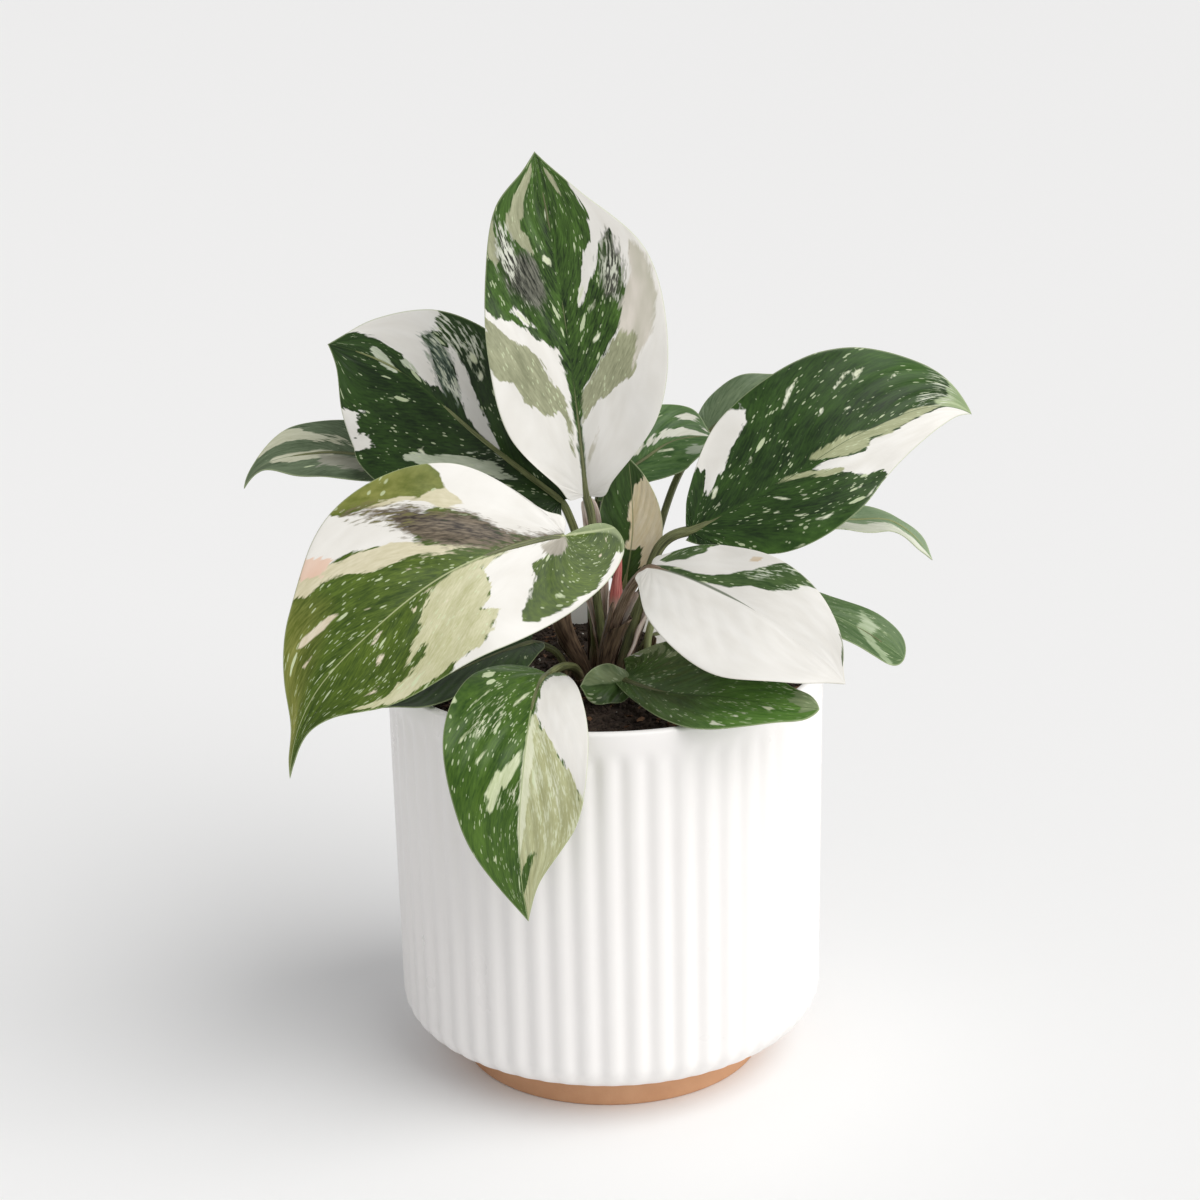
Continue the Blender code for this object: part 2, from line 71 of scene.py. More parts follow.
def node(tree, kind, *inputs, **settings):
    """Adds a node with its own settings. Inputs, by name or number, are given values or sources to link."""
    made = tree.nodes.new(kind)
    for name, value in settings.items():
        setattr(made, name, value)
    for name, given in [pair for group in inputs for pair in group.items()]:
        if isinstance(given, bpy.types.NodeSocket):
            tree.links.new(given, made.inputs[name])
        else:
            made.inputs[name].default_value = given
    return made


def finish(name, **values):
    """A new material, its node tree and its Principled shader with these input values."""
    made = bpy.data.materials.new(name)
    made.use_nodes = True
    shader = made.node_tree.nodes["Principled BSDF"]
    for key, value in values.items():
        shader.inputs[key.replace("_", " ")].default_value = value
    return made, made.node_tree, shader


def new_piece(name, points, faces, materials, slots=None):
    """A mesh object from points in millimetres, shaded smooth."""
    data = bpy.data.meshes.new(name)
    data.from_pydata((np.asarray(points, float) * MM).tolist(), [], faces)
    made = bpy.data.objects.new(name, data)
    scene.collection.objects.link(made)
    for worn in materials:
        data.materials.append(worn)
    if slots is not None:
        data.polygons.foreach_set("material_index", slots)
    data.shade_smooth()
    return made


# The floor is matt, so it gives the eye an even pale ground with soft shadows.
FLOOR_REACH = 40000
matt_floor, tree, shader = finish("pale_matt_floor", Roughness=0.6)
shader.inputs["Base Color"].default_value = linear("#F6F6F6")
corners = [(-FLOOR_REACH, -FLOOR_REACH, 0), (FLOOR_REACH, -FLOOR_REACH, 0)]
corners += [(FLOOR_REACH, FLOOR_REACH, 0), (-FLOOR_REACH, FLOOR_REACH, 0)]
floor = new_piece("floor", corners, [(0, 1, 2, 3)], [matt_floor])

world = bpy.data.worlds.new("studio")
world.use_nodes = True
world.node_tree.nodes["Background"].inputs["Color"].default_value = linear("#F9F9FA")
world.node_tree.nodes["Background"].inputs["Strength"].default_value = 0.48
scene.world = world
SKY_TURN = (math.radians(47), 0, math.radians(58))
SKY_SPREAD = math.radians(62)
sky = bpy.data.lights.new("wide_window", "SUN")
sky.energy = 2.45
sky.angle = SKY_SPREAD
sky.color = linear("#FFFEFC")[:3]
hung = bpy.data.objects.new("wide_window", sky)
hung.rotation_euler = SKY_TURN
scene.collection.objects.link(hung)
scene.view_settings.view_transform = "Standard"
scene.view_settings.look = "None"

# Pot: cast ceramic in a thick white gloss glaze, which softens its 56 flutes. They leave a plain band under
# the rim and run down over the rounded lower edge. One Geometry Nodes tree turns a profile about the axis.
POT_BOTTOM = 9.9
POT_HEIGHT = 138.0
RIM_RADIUS = 71.98
RIM_ROUNDING = 1.3
WALL_FOOT_RADIUS = 71.3
WALL = 3.0
EDGE_WIDTH = 26.0
EDGE_HEIGHT = 14.0
FLOOR_THICKNESS = 4.5
FLOOR_RADIUS = 48.0
INNER_EDGE_HEIGHT = 19.0
INNER_TAPER = 0.7
FLUTES = 56
FLUTE_DEPTH = 0.85
GROOVE_SHARPNESS = 1.3
RIM_BAND = 5.0
FLUTE_FADE = 7.0
FLUTE_LOW_FADE = (1.5, 9.0)
STEPS_A_FLUTE = 10
EDGE_STEPS = 20
ROUND_STEPS = 6
FADE_STEPS = 9
WALL_STEPS = 10
SAME_POINT = 0.002
INNER_WALL_SLACK = 0.2
INNER_WALL_LEAN = 0.1
INNER_WALL_TOP = 8


def arc(centre, radii, start, end, count):
    """Points of an arc of an ellipse, angles in degrees, as (radius, height)."""
    turn = np.radians(np.linspace(start, end, count))
    return [(centre[0] + radii[0] * math.cos(t), centre[1] + radii[1] * math.sin(t)) for t in turn]


def flute_share(radius, height):
    """How deep the flutes are there: nothing inside and at the rim, full on the wall, nothing underneath."""
    if radius < RIM_RADIUS - WALL + INNER_WALL_SLACK and height > POT_BOTTOM + EDGE_HEIGHT:
        return 0
    low, high = FLUTE_LOW_FADE
    shares = [(POT_HEIGHT - RIM_BAND - height) / FLUTE_FADE, (height - POT_BOTTOM - low) / (high - low)]
    rise, fall = [min(1, max(0, s)) for s in shares]
    return rise * rise * (3 - 2 * rise) * fall * fall * (3 - 2 * fall)


def turning_tree():
    """Geometry Nodes that turn a profile about the axis. A point's radius is its share of the flutes."""
    tree = bpy.data.node_groups.new("turn_with_flutes", "GeometryNodeTree")
    tree.interface.new_socket("Profile", in_out="INPUT", socket_type="NodeSocketGeometry")
    tree.interface.new_socket("Mesh", in_out="OUTPUT", socket_type="NodeSocketGeometry")
    for name, kind in [
        ("Flutes", "NodeSocketInt"),
        ("Steps a flute", "NodeSocketInt"),
        ("Flute depth", "NodeSocketFloat"),
        ("Groove sharpness", "NodeSocketFloat"),
        ("Finish", "NodeSocketMaterial"),
    ]:
        tree.interface.new_socket(name, in_out="INPUT", socket_type=kind)
    given = tree.nodes.new("NodeGroupInput").outputs
    math_node = "ShaderNodeMath"
    size = node(tree, "GeometryNodeAttributeDomainSize", {0: given["Profile"]}, component="CURVE")
    columns = node(
        tree, math_node, {0: given["Flutes"], 1: given["Steps a flute"]}, {2: 1}, operation="MULTIPLY_ADD"
    )
    rows = {"Vertices X": size.outputs["Point Count"], "Vertices Y": columns.outputs[0]}
    grid = node(tree, "GeometryNodeMeshGrid", rows, {"Size X": 1, "Size Y": 1})
    place = node(tree, "GeometryNodeInputPosition")
    flat = node(tree, "ShaderNodeSeparateXYZ", {0: place.outputs[0]}).outputs
    last = node(tree, math_node, {0: size.outputs["Point Count"]}, {1: 1}, operation="SUBTRACT")
    row = node(tree, math_node, {0: flat["X"]}, {1: 0.5}, operation="ADD")
    row = node(tree, math_node, {0: row.outputs[0], 1: last.outputs[0]}, operation="MULTIPLY")
    row = node(tree, math_node, {0: row.outputs[0]}, operation="ROUND").outputs[0]
    reading = {"Geometry": given["Profile"], "Value": place.outputs[0], "Index": row}
    point = node(tree, "GeometryNodeSampleIndex", data_type="FLOAT_VECTOR", domain="POINT")
    for name, source in reading.items():
        tree.links.new(source, point.inputs[name])
    point = node(tree, "ShaderNodeSeparateXYZ", {0: point.outputs[0]}).outputs
    share = node(tree, "GeometryNodeSampleIndex", data_type="FLOAT", domain="POINT")
    reading["Value"] = node(tree, "GeometryNodeInputRadius").outputs[0]
    for name, source in reading.items():
        tree.links.new(source, share.inputs[name])
    turn = node(tree, math_node, {0: flat["Y"]}, {1: 0.5}, operation="ADD")
    turn = node(tree, math_node, {0: turn.outputs[0]}, {1: 2 * math.pi}, operation="MULTIPLY").outputs[0]
    swing = node(tree, math_node, {0: turn, 1: given["Flutes"]}, operation="MULTIPLY")
    swing = node(tree, math_node, {0: swing.outputs[0]}, operation="COSINE")
    swing = node(tree, math_node, {0: swing.outputs[0]}, {1: -0.5, 2: 0.5}, operation="MULTIPLY_ADD")
    sharp = {0: swing.outputs[0], 1: given["Groove sharpness"]}
    groove = node(tree, math_node, sharp, operation="POWER")
    deep = node(tree, math_node, {0: share.outputs[0], 1: given["Flute depth"]}, operation="MULTIPLY")
    cut = node(tree, math_node, {0: deep.outputs[0], 1: groove.outputs[0]}, operation="MULTIPLY")
    radius = node(tree, math_node, {0: point["X"], 1: cut.outputs[0]}, operation="SUBTRACT").outputs[0]
    x = node(tree, math_node, {0: turn}, operation="COSINE")
    x = node(tree, math_node, {0: x.outputs[0], 1: radius}, operation="MULTIPLY")
    y = node(tree, math_node, {0: turn}, operation="SINE")
    y = node(tree, math_node, {0: y.outputs[0], 1: radius}, operation="MULTIPLY")
    spot = node(tree, "ShaderNodeCombineXYZ", {0: x.outputs[0], 1: y.outputs[0], 2: point["Z"]})
    moved = node(tree, "GeometryNodeSetPosition", {"Geometry": grid.outputs[0], "Position": spot.outputs[0]})
    joined = node(tree, "GeometryNodeMergeByDistance", {0: moved.outputs[0]}, {"Distance": SAME_POINT * MM})
    real = node(tree, "GeometryNodeRealizeInstances", {0: joined.outputs[0]})
    worn = node(tree, "GeometryNodeSetMaterial", {"Geometry": real.outputs[0], "Material": given["Finish"]})
    node(tree, "NodeGroupOutput", {0: worn.outputs[0]})
    return tree


def evaluated(made, tree, values):
    """The plain mesh that this Geometry Nodes tree makes of an object with these input values."""
    step = made.modifiers.new("make", "NODES")
    step.node_group = tree
    for item in tree.interface.items_tree:
        if item.item_type == "SOCKET" and item.in_out == "INPUT" and item.name in values:
            step[item.identifier] = values[item.name]
    bpy.context.view_layer.update()
    graph = bpy.context.evaluated_depsgraph_get()
    data = bpy.data.meshes.new_from_object(made.evaluated_get(graph))
    made.modifiers.remove(step)
    if data.materials[0] is None:
        data.materials.pop(index=0)
    return data


def outward(data):
    """Joins coincident points and turns the faces outwards."""
    work = bmesh.new()
    work.from_mesh(data)
    bmesh.ops.remove_doubles(work, verts=work.verts, dist=SAME_POINT / 2 * MM)
    bmesh.ops.dissolve_degenerate(work, edges=work.edges, dist=SAME_POINT / 4 * MM)
    bmesh.ops.recalc_face_normals(work, faces=work.faces)
    work.to_mesh(data)
    work.free()
    data.shade_smooth()


def turned(name, profile, values):
    """A piece turned about the axis from (radius, height, flute share) points."""
    line = bpy.data.curves.new(name, "CURVE")
    line.dimensions = "3D"
    spline = line.splines.new("POLY")
    spline.points.add(len(profile) - 1)
    for point, (radius, height, share) in zip(spline.points, profile):
        point.co = (radius * MM, 0, height * MM, 1)
        point.radius = share
    drawn = bpy.data.objects.new(name + "_profile", line)
    scene.collection.objects.link(drawn)
    data = evaluated(drawn, turn_with_flutes, values)
    bpy.data.objects.remove(drawn)
    outward(data)
    data.name = name
    made = bpy.data.objects.new(name, data)
    scene.collection.objects.link(made)
    return made


turn_with_flutes = turning_tree()
straight = POT_BOTTOM + EDGE_HEIGHT
inner_floor = POT_BOTTOM + FLOOR_THICKNESS
inner_rim = RIM_RADIUS - WALL
lip = RIM_RADIUS - RIM_ROUNDING
band = POT_HEIGHT - RIM_BAND
profile = [(0, inner_floor), (FLOOR_RADIUS, inner_floor)]
profile += [
    (inner_rim - INNER_TAPER, POT_BOTTOM + INNER_EDGE_HEIGHT),
    (inner_rim - INNER_WALL_LEAN, POT_HEIGHT - INNER_WALL_TOP)
]
profile += arc(
    (inner_rim + RIM_ROUNDING, POT_HEIGHT - RIM_ROUNDING), (RIM_ROUNDING, RIM_ROUNDING), 180, 90, ROUND_STEPS
)
profile += arc((lip, POT_HEIGHT - RIM_ROUNDING), (RIM_ROUNDING, RIM_ROUNDING), 90, 0, ROUND_STEPS)
profile += [(RIM_RADIUS, z) for z in np.linspace(band, band - FLUTE_FADE, FADE_STEPS)]
profile += [
    (WALL_FOOT_RADIUS + (RIM_RADIUS - WALL_FOOT_RADIUS) * (z - straight) / (POT_HEIGHT - straight), z)
    for z in np.linspace(band - FLUTE_FADE - 2, straight + 1, WALL_STEPS)
]
profile += arc((WALL_FOOT_RADIUS - EDGE_WIDTH, straight), (EDGE_WIDTH, EDGE_HEIGHT), 0, -90, EDGE_STEPS)
profile += [(0, POT_BOTTOM)]

# Glaze: fired white gloss over the whole body, one faintly cloudy coat. It shines softly and unevenly,
# because the coat runs and ripples slightly as it melts. Its clouds and ripples are in millimetres.
GLAZE_CLOUD = 22.22
GLAZE_RIPPLE = 11.11
white_glaze, tree, shader = finish("white_gloss_glaze", Roughness=0.3, IOR=1.48)
where = node(tree, "ShaderNodeTexCoord").outputs["Object"]
cloud = node(
    tree, "ShaderNodeTexNoise", {"Vector": where},
    {"Scale": 1 / (GLAZE_CLOUD * MM), "Detail": 3, "Roughness": 0.5}
)
tint = node(
    tree, "ShaderNodeMix", {0: cloud.outputs[0]}, {6: linear("#F1EEEC"), 7: linear("#F5F3F1")},
    data_type="RGBA"
)
tree.links.new(tint.outputs[2], shader.inputs["Base Color"])
ripple = node(
    tree, "ShaderNodeTexNoise", {"Vector": where},
    {"Scale": 1 / (GLAZE_RIPPLE * MM), "Detail": 1, "Roughness": 0.4}
)
raised = node(tree, "ShaderNodeBump", {"Height": ripple.outputs[0]}, {"Strength": 0.05, "Distance": 0.1 * MM})
tree.links.new(raised.outputs[0], shader.inputs["Normal"])
wet = node(
    tree,
    "ShaderNodeMapRange",
    {"Value": cloud.outputs[0]},
    {"From Min": 0.3, "From Max": 0.7, "To Min": 0.27, "To Max": 0.34},
)
tree.links.new(wet.outputs[0], shader.inputs["Roughness"])

pot_values = {
    "Flutes": FLUTES,
    "Steps a flute": STEPS_A_FLUTE,
    "Flute depth": FLUTE_DEPTH * MM,
    "Groove sharpness": GROOVE_SHARPNESS,
    "Finish": white_glaze,
}
pot = turned("fluted_pot", [(r, z, flute_share(r, z)) for r, z in profile], pot_values)
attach(pot, "root")
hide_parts("pot_body")

# Foot: the bare end of the same fired pot, left unglazed, which stands back under the body. Terracotta has
# no shine, soft clouds of colour and pale grains of sand.
FOOT_RADIUS = 51.0
FOOT_HEIGHT = 9.6
FOOT_ROUNDING = 0.8
FOOT_RING = 6
# Clouds of colour and grains of sand in millimetres. Real grains are finer, and these are drawn as coarse
# as they need to be to show.
CLAY_CLOUD = 14.29
SAND_GRAIN = 0.625
terracotta, tree, shader = finish("bare_terracotta", Roughness=0.85, IOR=1.45)
where = node(tree, "ShaderNodeTexCoord").outputs["Object"]
stain = node(
    tree, "ShaderNodeTexNoise", {"Vector": where},
    {"Scale": 1 / (CLAY_CLOUD * MM), "Detail": 4, "Roughness": 0.6}
)
clay = node(
    tree, "ShaderNodeMix", {0: stain.outputs[0]}, {6: linear("#C18C66"), 7: linear("#DDAD87")},
    data_type="RGBA"
)
grain = node(
    tree, "ShaderNodeTexNoise", {"Vector": where},
    {"Scale": 1 / (SAND_GRAIN * MM), "Detail": 4, "Roughness": 0.65}
)
sand = node(
    tree, "ShaderNodeMapRange", {"Value": grain.outputs[0]},
    {"From Min": 0.6, "From Max": 0.75, "To Max": 0.35}
)
clay = node(
    tree,
    "ShaderNodeMix",
    {0: sand.outputs[0], 6: clay.outputs[2]},
    {7: linear("#DDB893")},
    data_type="RGBA",
)
tree.links.new(clay.outputs[2], shader.inputs["Base Color"])
raised = node(tree, "ShaderNodeBump", {"Height": grain.outputs[0]}, {"Strength": 0.6, "Distance": 0.15 * MM})
tree.links.new(raised.outputs[0], shader.inputs["Normal"])
edge = FOOT_RADIUS - FOOT_ROUNDING
profile = [(0, FOOT_HEIGHT), (edge - FOOT_RING, FOOT_HEIGHT)]
profile += arc((edge, FOOT_HEIGHT - FOOT_ROUNDING), (FOOT_ROUNDING, FOOT_ROUNDING), 90, 0, ROUND_STEPS)
profile += arc((edge, FOOT_ROUNDING), (FOOT_ROUNDING, FOOT_ROUNDING), 0, -90, ROUND_STEPS)
profile += [(edge - FOOT_RING, 0), (0, 0)]
foot_values = dict(pot_values, **{"Steps a flute": 3, "Flute depth": 0.0, "Finish": terracotta})
foot = turned("clay_foot", [(r, z, 0) for r, z in profile], foot_values)
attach(foot, "root")
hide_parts("pot_foot")

# Soil: dark, damp potting compost, crumbly, with bark chips, pale perlite and dry brown bits of old leaf
# sheath. A turned mound carries crumbs that Geometry Nodes scatter over it.
SOIL_EDGE_TOP = 128.3
SOIL_SHOULDER_RADIUS = 30.0
SOIL_SHOULDER_TOP = 130.2
SOIL_CENTRE_TOP = 130.8
CROWN_RADII = (9, 18)
CROWN_DROP = 0.2
SOIL_SLOPE = [(40, 129.6), (50, 129.1), (59, 128.7)]
LUMPS_ABOVE = 125
STEEPEST = 0.6
KNOB_SCALE = 900
EARTH_GRAIN = 0.4545
SOIL_EDGE_WIDTH = 1
SOIL_EDGE_DROP = 0.8
SOIL_GAP = 0.3


def scattering_tree():
    """Geometry Nodes that scatter knobbly lumps over the top of a mesh, each with its own size and turn."""
    tree = bpy.data.node_groups.new("scatter_lumps", "GeometryNodeTree")
    tree.interface.new_socket("Ground", in_out="INPUT", socket_type="NodeSocketGeometry")
    tree.interface.new_socket("Lumps", in_out="OUTPUT", socket_type="NodeSocketGeometry")
    for name, kind in [
        ("Per square metre", "NodeSocketFloat"),
        ("Smallest", "NodeSocketVector"),
        ("Largest", "NodeSocketVector"),
        ("Tilt", "NodeSocketFloat"),
        ("Knobbliness", "NodeSocketFloat"),
        ("Above", "NodeSocketFloat"),
        ("Seed", "NodeSocketInt"),
        ("Finish", "NodeSocketMaterial"),
    ]:
        tree.interface.new_socket(name, in_out="INPUT", socket_type=kind)
    given = tree.nodes.new("NodeGroupInput").outputs
    facing = node(tree, "GeometryNodeInputNormal")
    facing = node(tree, "ShaderNodeSeparateXYZ", {0: facing.outputs[0]})
    place = node(tree, "GeometryNodeInputPosition")
    height = node(tree, "ShaderNodeSeparateXYZ", {0: place.outputs[0]})
    over = node(tree, "ShaderNodeMath", {0: height.outputs["Z"], 1: given["Above"]}, operation="GREATER_THAN")
    top = node(tree, "ShaderNodeMath", {0: facing.outputs["Z"]}, {1: STEEPEST}, operation="GREATER_THAN")
    chosen = node(tree, "ShaderNodeMath", {0: over.outputs[0], 1: top.outputs[0]}, operation="MULTIPLY")
    spread = {
        "Mesh": given["Ground"],
        "Selection": chosen.outputs[0],
        "Density": given["Per square metre"],
        "Seed": given["Seed"],
    }
    spots = node(tree, "GeometryNodeDistributePointsOnFaces", spread, distribute_method="RANDOM")
    lump = node(tree, "GeometryNodeMeshIcoSphere", {"Radius": 1, "Subdivisions": 1})
    size = node(tree, "FunctionNodeRandomValue", data_type="FLOAT_VECTOR")
    for name, source in {"Min": given["Smallest"], "Max": given["Largest"], "Seed": given["Seed"]}.items():
        tree.links.new(source, [s for s in size.inputs if s.name == name and s.enabled][0])
    turn = node(tree, "FunctionNodeRandomValue", data_type="FLOAT_VECTOR")
    tilt = given["Tilt"]
    most = node(tree, "ShaderNodeCombineXYZ", {0: tilt, 1: tilt}, {2: 2 * math.pi})
    least = node(tree, "ShaderNodeVectorMath", {0: most.outputs[0]}, {1: (-1, -1, 0)}, operation="MULTIPLY")
    for name, source in {"Min": least.outputs[0], "Max": most.outputs[0], "Seed": given["Seed"]}.items():
        tree.links.new(source, [s for s in turn.inputs if s.name == name and s.enabled][0])
    turn_value = [s for s in turn.outputs if s.enabled][0]
    size_value = [s for s in size.outputs if s.enabled][0]
    placing = {"Points": spots.outputs["Points"], "Instance": lump.outputs[0], "Rotation": turn_value}
    placing["Scale"] = size_value
    laid = node(tree, "GeometryNodeInstanceOnPoints", placing)
    real = node(tree, "GeometryNodeRealizeInstances", {0: laid.outputs[0]})
    knobs = node(tree, "ShaderNodeTexNoise", {"Vector": place.outputs[0]}, {"Scale": KNOB_SCALE, "Detail": 1})
    knobs = node(
        tree, "ShaderNodeVectorMath", {0: knobs.outputs["Color"]}, {1: (0.5, 0.5, 0.5)}, operation="SUBTRACT"
    )
    knobs = node(
        tree, "ShaderNodeVectorMath", {0: knobs.outputs[0], "Scale": given["Knobbliness"]}, operation="SCALE"
    )
    rough = node(tree, "GeometryNodeSetPosition", {"Geometry": real.outputs[0], "Offset": knobs.outputs[0]})
    worn = node(tree, "GeometryNodeSetMaterial", {"Geometry": rough.outputs[0], "Material": given["Finish"]})
    node(tree, "NodeGroupOutput", {0: worn.outputs[0]})
    return tree


def earthy(name, dark, light, spot, roughness):
    """A dry crumbly finish: two colours in spots of this size in millimetres, and a rough grain."""
    made, tree, shader = finish(name, Roughness=roughness, IOR=1.4, Specular_IOR_Level=0.25)
    where = node(tree, "ShaderNodeTexCoord").outputs["Object"]
    patch = node(
        tree, "ShaderNodeTexNoise", {"Vector": where},
        {"Scale": 1 / (spot * MM), "Detail": 4, "Roughness": 0.65}
    )
    fade = node(tree, "ShaderNodeMapRange", {"Value": patch.outputs[0]}, {"From Min": 0.35, "From Max": 0.65})
    mixed = node(
        tree, "ShaderNodeMix", {0: fade.outputs[0]}, {6: linear(dark), 7: linear(light)}, data_type="RGBA"
    )
    tree.links.new(mixed.outputs[2], shader.inputs["Base Color"])
    grain = node(
        tree, "ShaderNodeTexNoise", {"Vector": where},
        {"Scale": 1 / (EARTH_GRAIN * MM), "Detail": 3, "Roughness": 0.7}
    )
    raised = node(
        tree, "ShaderNodeBump", {"Height": grain.outputs[0]}, {"Strength": 0.7, "Distance": 0.2 * MM}
    )
    tree.links.new(raised.outputs[0], shader.inputs["Normal"])
    return made


# Dull finishes that catch little light: damp compost is darkest, bark chips are redder, bits of dry sheath
# are straw brown, and perlite is nearly white.
compost = earthy("damp_compost", "#2B2420", "#52453C", 2.381, 0.9)
wall = inner_rim - INNER_TAPER - SOIL_GAP
bottom = inner_floor + SOIL_GAP
soil_skin = [(0, SOIL_CENTRE_TOP), (CROWN_RADII[0], SOIL_CENTRE_TOP)]
soil_skin += [(CROWN_RADII[1], SOIL_CENTRE_TOP - CROWN_DROP)]
soil_skin += [(SOIL_SHOULDER_RADIUS, SOIL_SHOULDER_TOP), *SOIL_SLOPE]
soil_skin += [(wall - SOIL_EDGE_WIDTH, SOIL_EDGE_TOP), (wall - SOIL_GAP, SOIL_EDGE_TOP - SOIL_EDGE_DROP)]
soil_skin += [
    (wall, POT_BOTTOM + INNER_EDGE_HEIGHT + SOIL_GAP), (FLOOR_RADIUS - SOIL_GAP, bottom), (0, bottom)
]
soil_values = dict(pot_values, **{"Steps a flute": 2, "Flute depth": 0.0, "Finish": compost})
soil = turned("soil_mound", [(r, z, 0) for r, z in soil_skin[::-1]], soil_values)
scatter = scattering_tree()
crumbs = []
for name, amount, smallest, largest, tilt, knobs, seed, worn in [
    ("fine_crumbs", 260000, (0.4, 0.4, 0.3), (1.0, 1.0, 0.7), 3, 0.6, 3, compost),
    ("coarse_crumbs", 70000, (0.9, 0.9, 0.6), (2.1, 1.9, 1.3), 3, 1.4, 5, compost),
    (
        "bark", 9000, (1.2, 0.7, 0.3), (3.4, 1.7, 0.8), 0.35, 0.9, 8,
        earthy("bark_chips", "#33231A", "#6A4A33", 1.111, 0.8)
    ),
    (
        "straw", 9000, (2.0, 0.5, 0.2), (6.5, 1.3, 0.4), 0.3, 0.5, 11,
        earthy("dry_sheath", "#5E412F", "#9A765A", 1.429, 0.7)
    ),
    (
        "perlite", 6500, (0.4, 0.4, 0.35), (1.0, 0.9, 0.8), 3, 0.5, 13,
        earthy("perlite", "#BDB8AE", "#E4E1DA", 1.111, 0.8)
    ),
]:
    values = {
        "Per square metre": amount,
        "Smallest": [v * MM for v in smallest],
        "Largest": [v * MM for v in largest],
        "Tilt": float(tilt),
        "Knobbliness": knobs * MM,
        "Above": LUMPS_ABOVE * MM,
        "Seed": seed,
        "Finish": worn,
    }
    made = bpy.data.objects.new(name, evaluated(soil, scatter, values))
    scene.collection.objects.link(made)
    crumbs.append(made)


def join(made, others):
    """One mesh object of several."""
    with bpy.context.temp_override(active_object=made, selected_editable_objects=[made, *others]):
        bpy.ops.object.join()


join(soil, crumbs)
soil.data.shade_flat()
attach(soil, "root")
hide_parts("soil")

# Top leaf: the tallest leaf, which stands upright at the back. It is green towards the tip and white below,
# with sage patches and silvery grey streaks of painted sheen on the dark green. Each leaf is one piece, its
# blade, stalk and midrib grown together, and it stands in the soil. Sizes are in millimetres, turns in
# degrees.

# The outline: shares of the length where widths are given, and how the lobes and the tip round off.
STATIONS = (0.04, 0.22, 0.45, 0.68, 0.87)
LOBE_WIDTH = 0.35
LOBE_TURN = (0.55, 0.68)
TIP = (0.958, 0.29)
# The blade: its thickness, how far it lies under the CAD's face, its rounded edge, wave and fold.
SKIN_DROP = 0.12
SKIN_THICKNESS = 0.45
MARGIN_STEPS = (0.955, 0.975, 0.988, 0.996, 1.0)
END_STEPS = (0.003, 0.996)
ROUNDED_MARGIN = 0.975
ROUNDED_ENDS = (0.01, 0.988)
WAVE_COUNT = 2.5
WAVE_HEIGHT = 0.8
WAVE_LAG = 1.9
FOLD_SOFTNESS = 0.7
# Rows and columns of a blade's grid.
LARGE = (150, 26)
SMALL = (90, 16)
# Where the vein rows run, and where the veins lie between them.
VEIN_FAN = 0.16
VEIN_LAG = 1.12
VEIN_BOW = 1.2
VEIN_REACH = 0.45
VEIN_CLOSENESS = 0.5
VEIN_SPACING = 0.055
FAN_RADIUS = 22.0
FAN_CURL = 1.2
FAN_ONWARD = 12.0
# The relief: sunken veins, the groove over the midrib and a soft swell, which calm down towards the edges.
VEIN_DEPTH = 0.12
VEIN_GROOVE_WIDTH = 0.8
VEIN_ROUNDNESS = 0.7
VEIN_SHIFT = 0.3
VEIN_CALM = (4, 6, 8)
WHITE_CALM = 0.75
MIDRIB_GROOVE = 0.3
MIDRIB_GROOVE_WIDTH = 0.9
SWELL = 0.22
SWELL_WAVES = 6
SWELL_LENGTHS = (16, 42)
SWELL_SHARE = 2.5
RELIEF_CALM = (3, 12)
# The painted mark of the midrib, how near it patches have calm edges, and how far their depth is read.
RIB_MARK_WIDTH = 0.42
RIB_MARK_TAPER = 1.05
RIB_MARK_LEAST = 0.08
RIB_MARK_FADE = 8
CALM_WIDTH = 3.5
PATCH_REACH = 8.0
# The stalk: straight in the soil, brown and flared at its foot, ribbed, and channelled on top.
STALK_BOTTOM = 112.0
STALK_STRAIGHT_TO = 132.0
STALK_TAPER = 0.85
STALK_SMOOTHING = 3
STALK_SEAT_DROP = 0.6
BROWN_UP_TO = 129
BROWN_FADE = 16
FOOT_FLARE = 0.22
STALK_RIBS = 8
RIB_DEPTH = 0.04
CHANNEL_DEPTH = 0.14
CHANNEL_WIDTH = 0.5
# The midrib under the blade: thickness and drop in stalk radii, and in millimetres at its end.
RIB_POINTS = 60
RIB_SHARES = (0, 0.25, 0.9)
RIB_THICKNESS = (0.85, 0.6)
RIB_DROP = (0.6, 0.5)
RIB_TIP = (0.25, 0.4)
# The sheaths, loose round the stalk, with a ragged edge and faint folds.
SHEATH_LOOSENESS = 1.18
SHEATH_HALF = 0.16
SHEATH_FOLD = 0.05
SHEATH_FOLD_WAVES = (11, 5)
SHEATH_RAGGED = 0.06
RAGGED_WAVES = 19
# Steps between the patterns of one leaf and the next, and between the two halves of a blade.
SEED_STEP = 7.3
SHEATH_STEP = 3.1
HALF_STEP = 0.8
HALF_BLEND = 1.5


def unit(vectors):
    """These vectors, each one unit long."""
    return vectors / np.linalg.norm(vectors, axis=-1, keepdims=True)


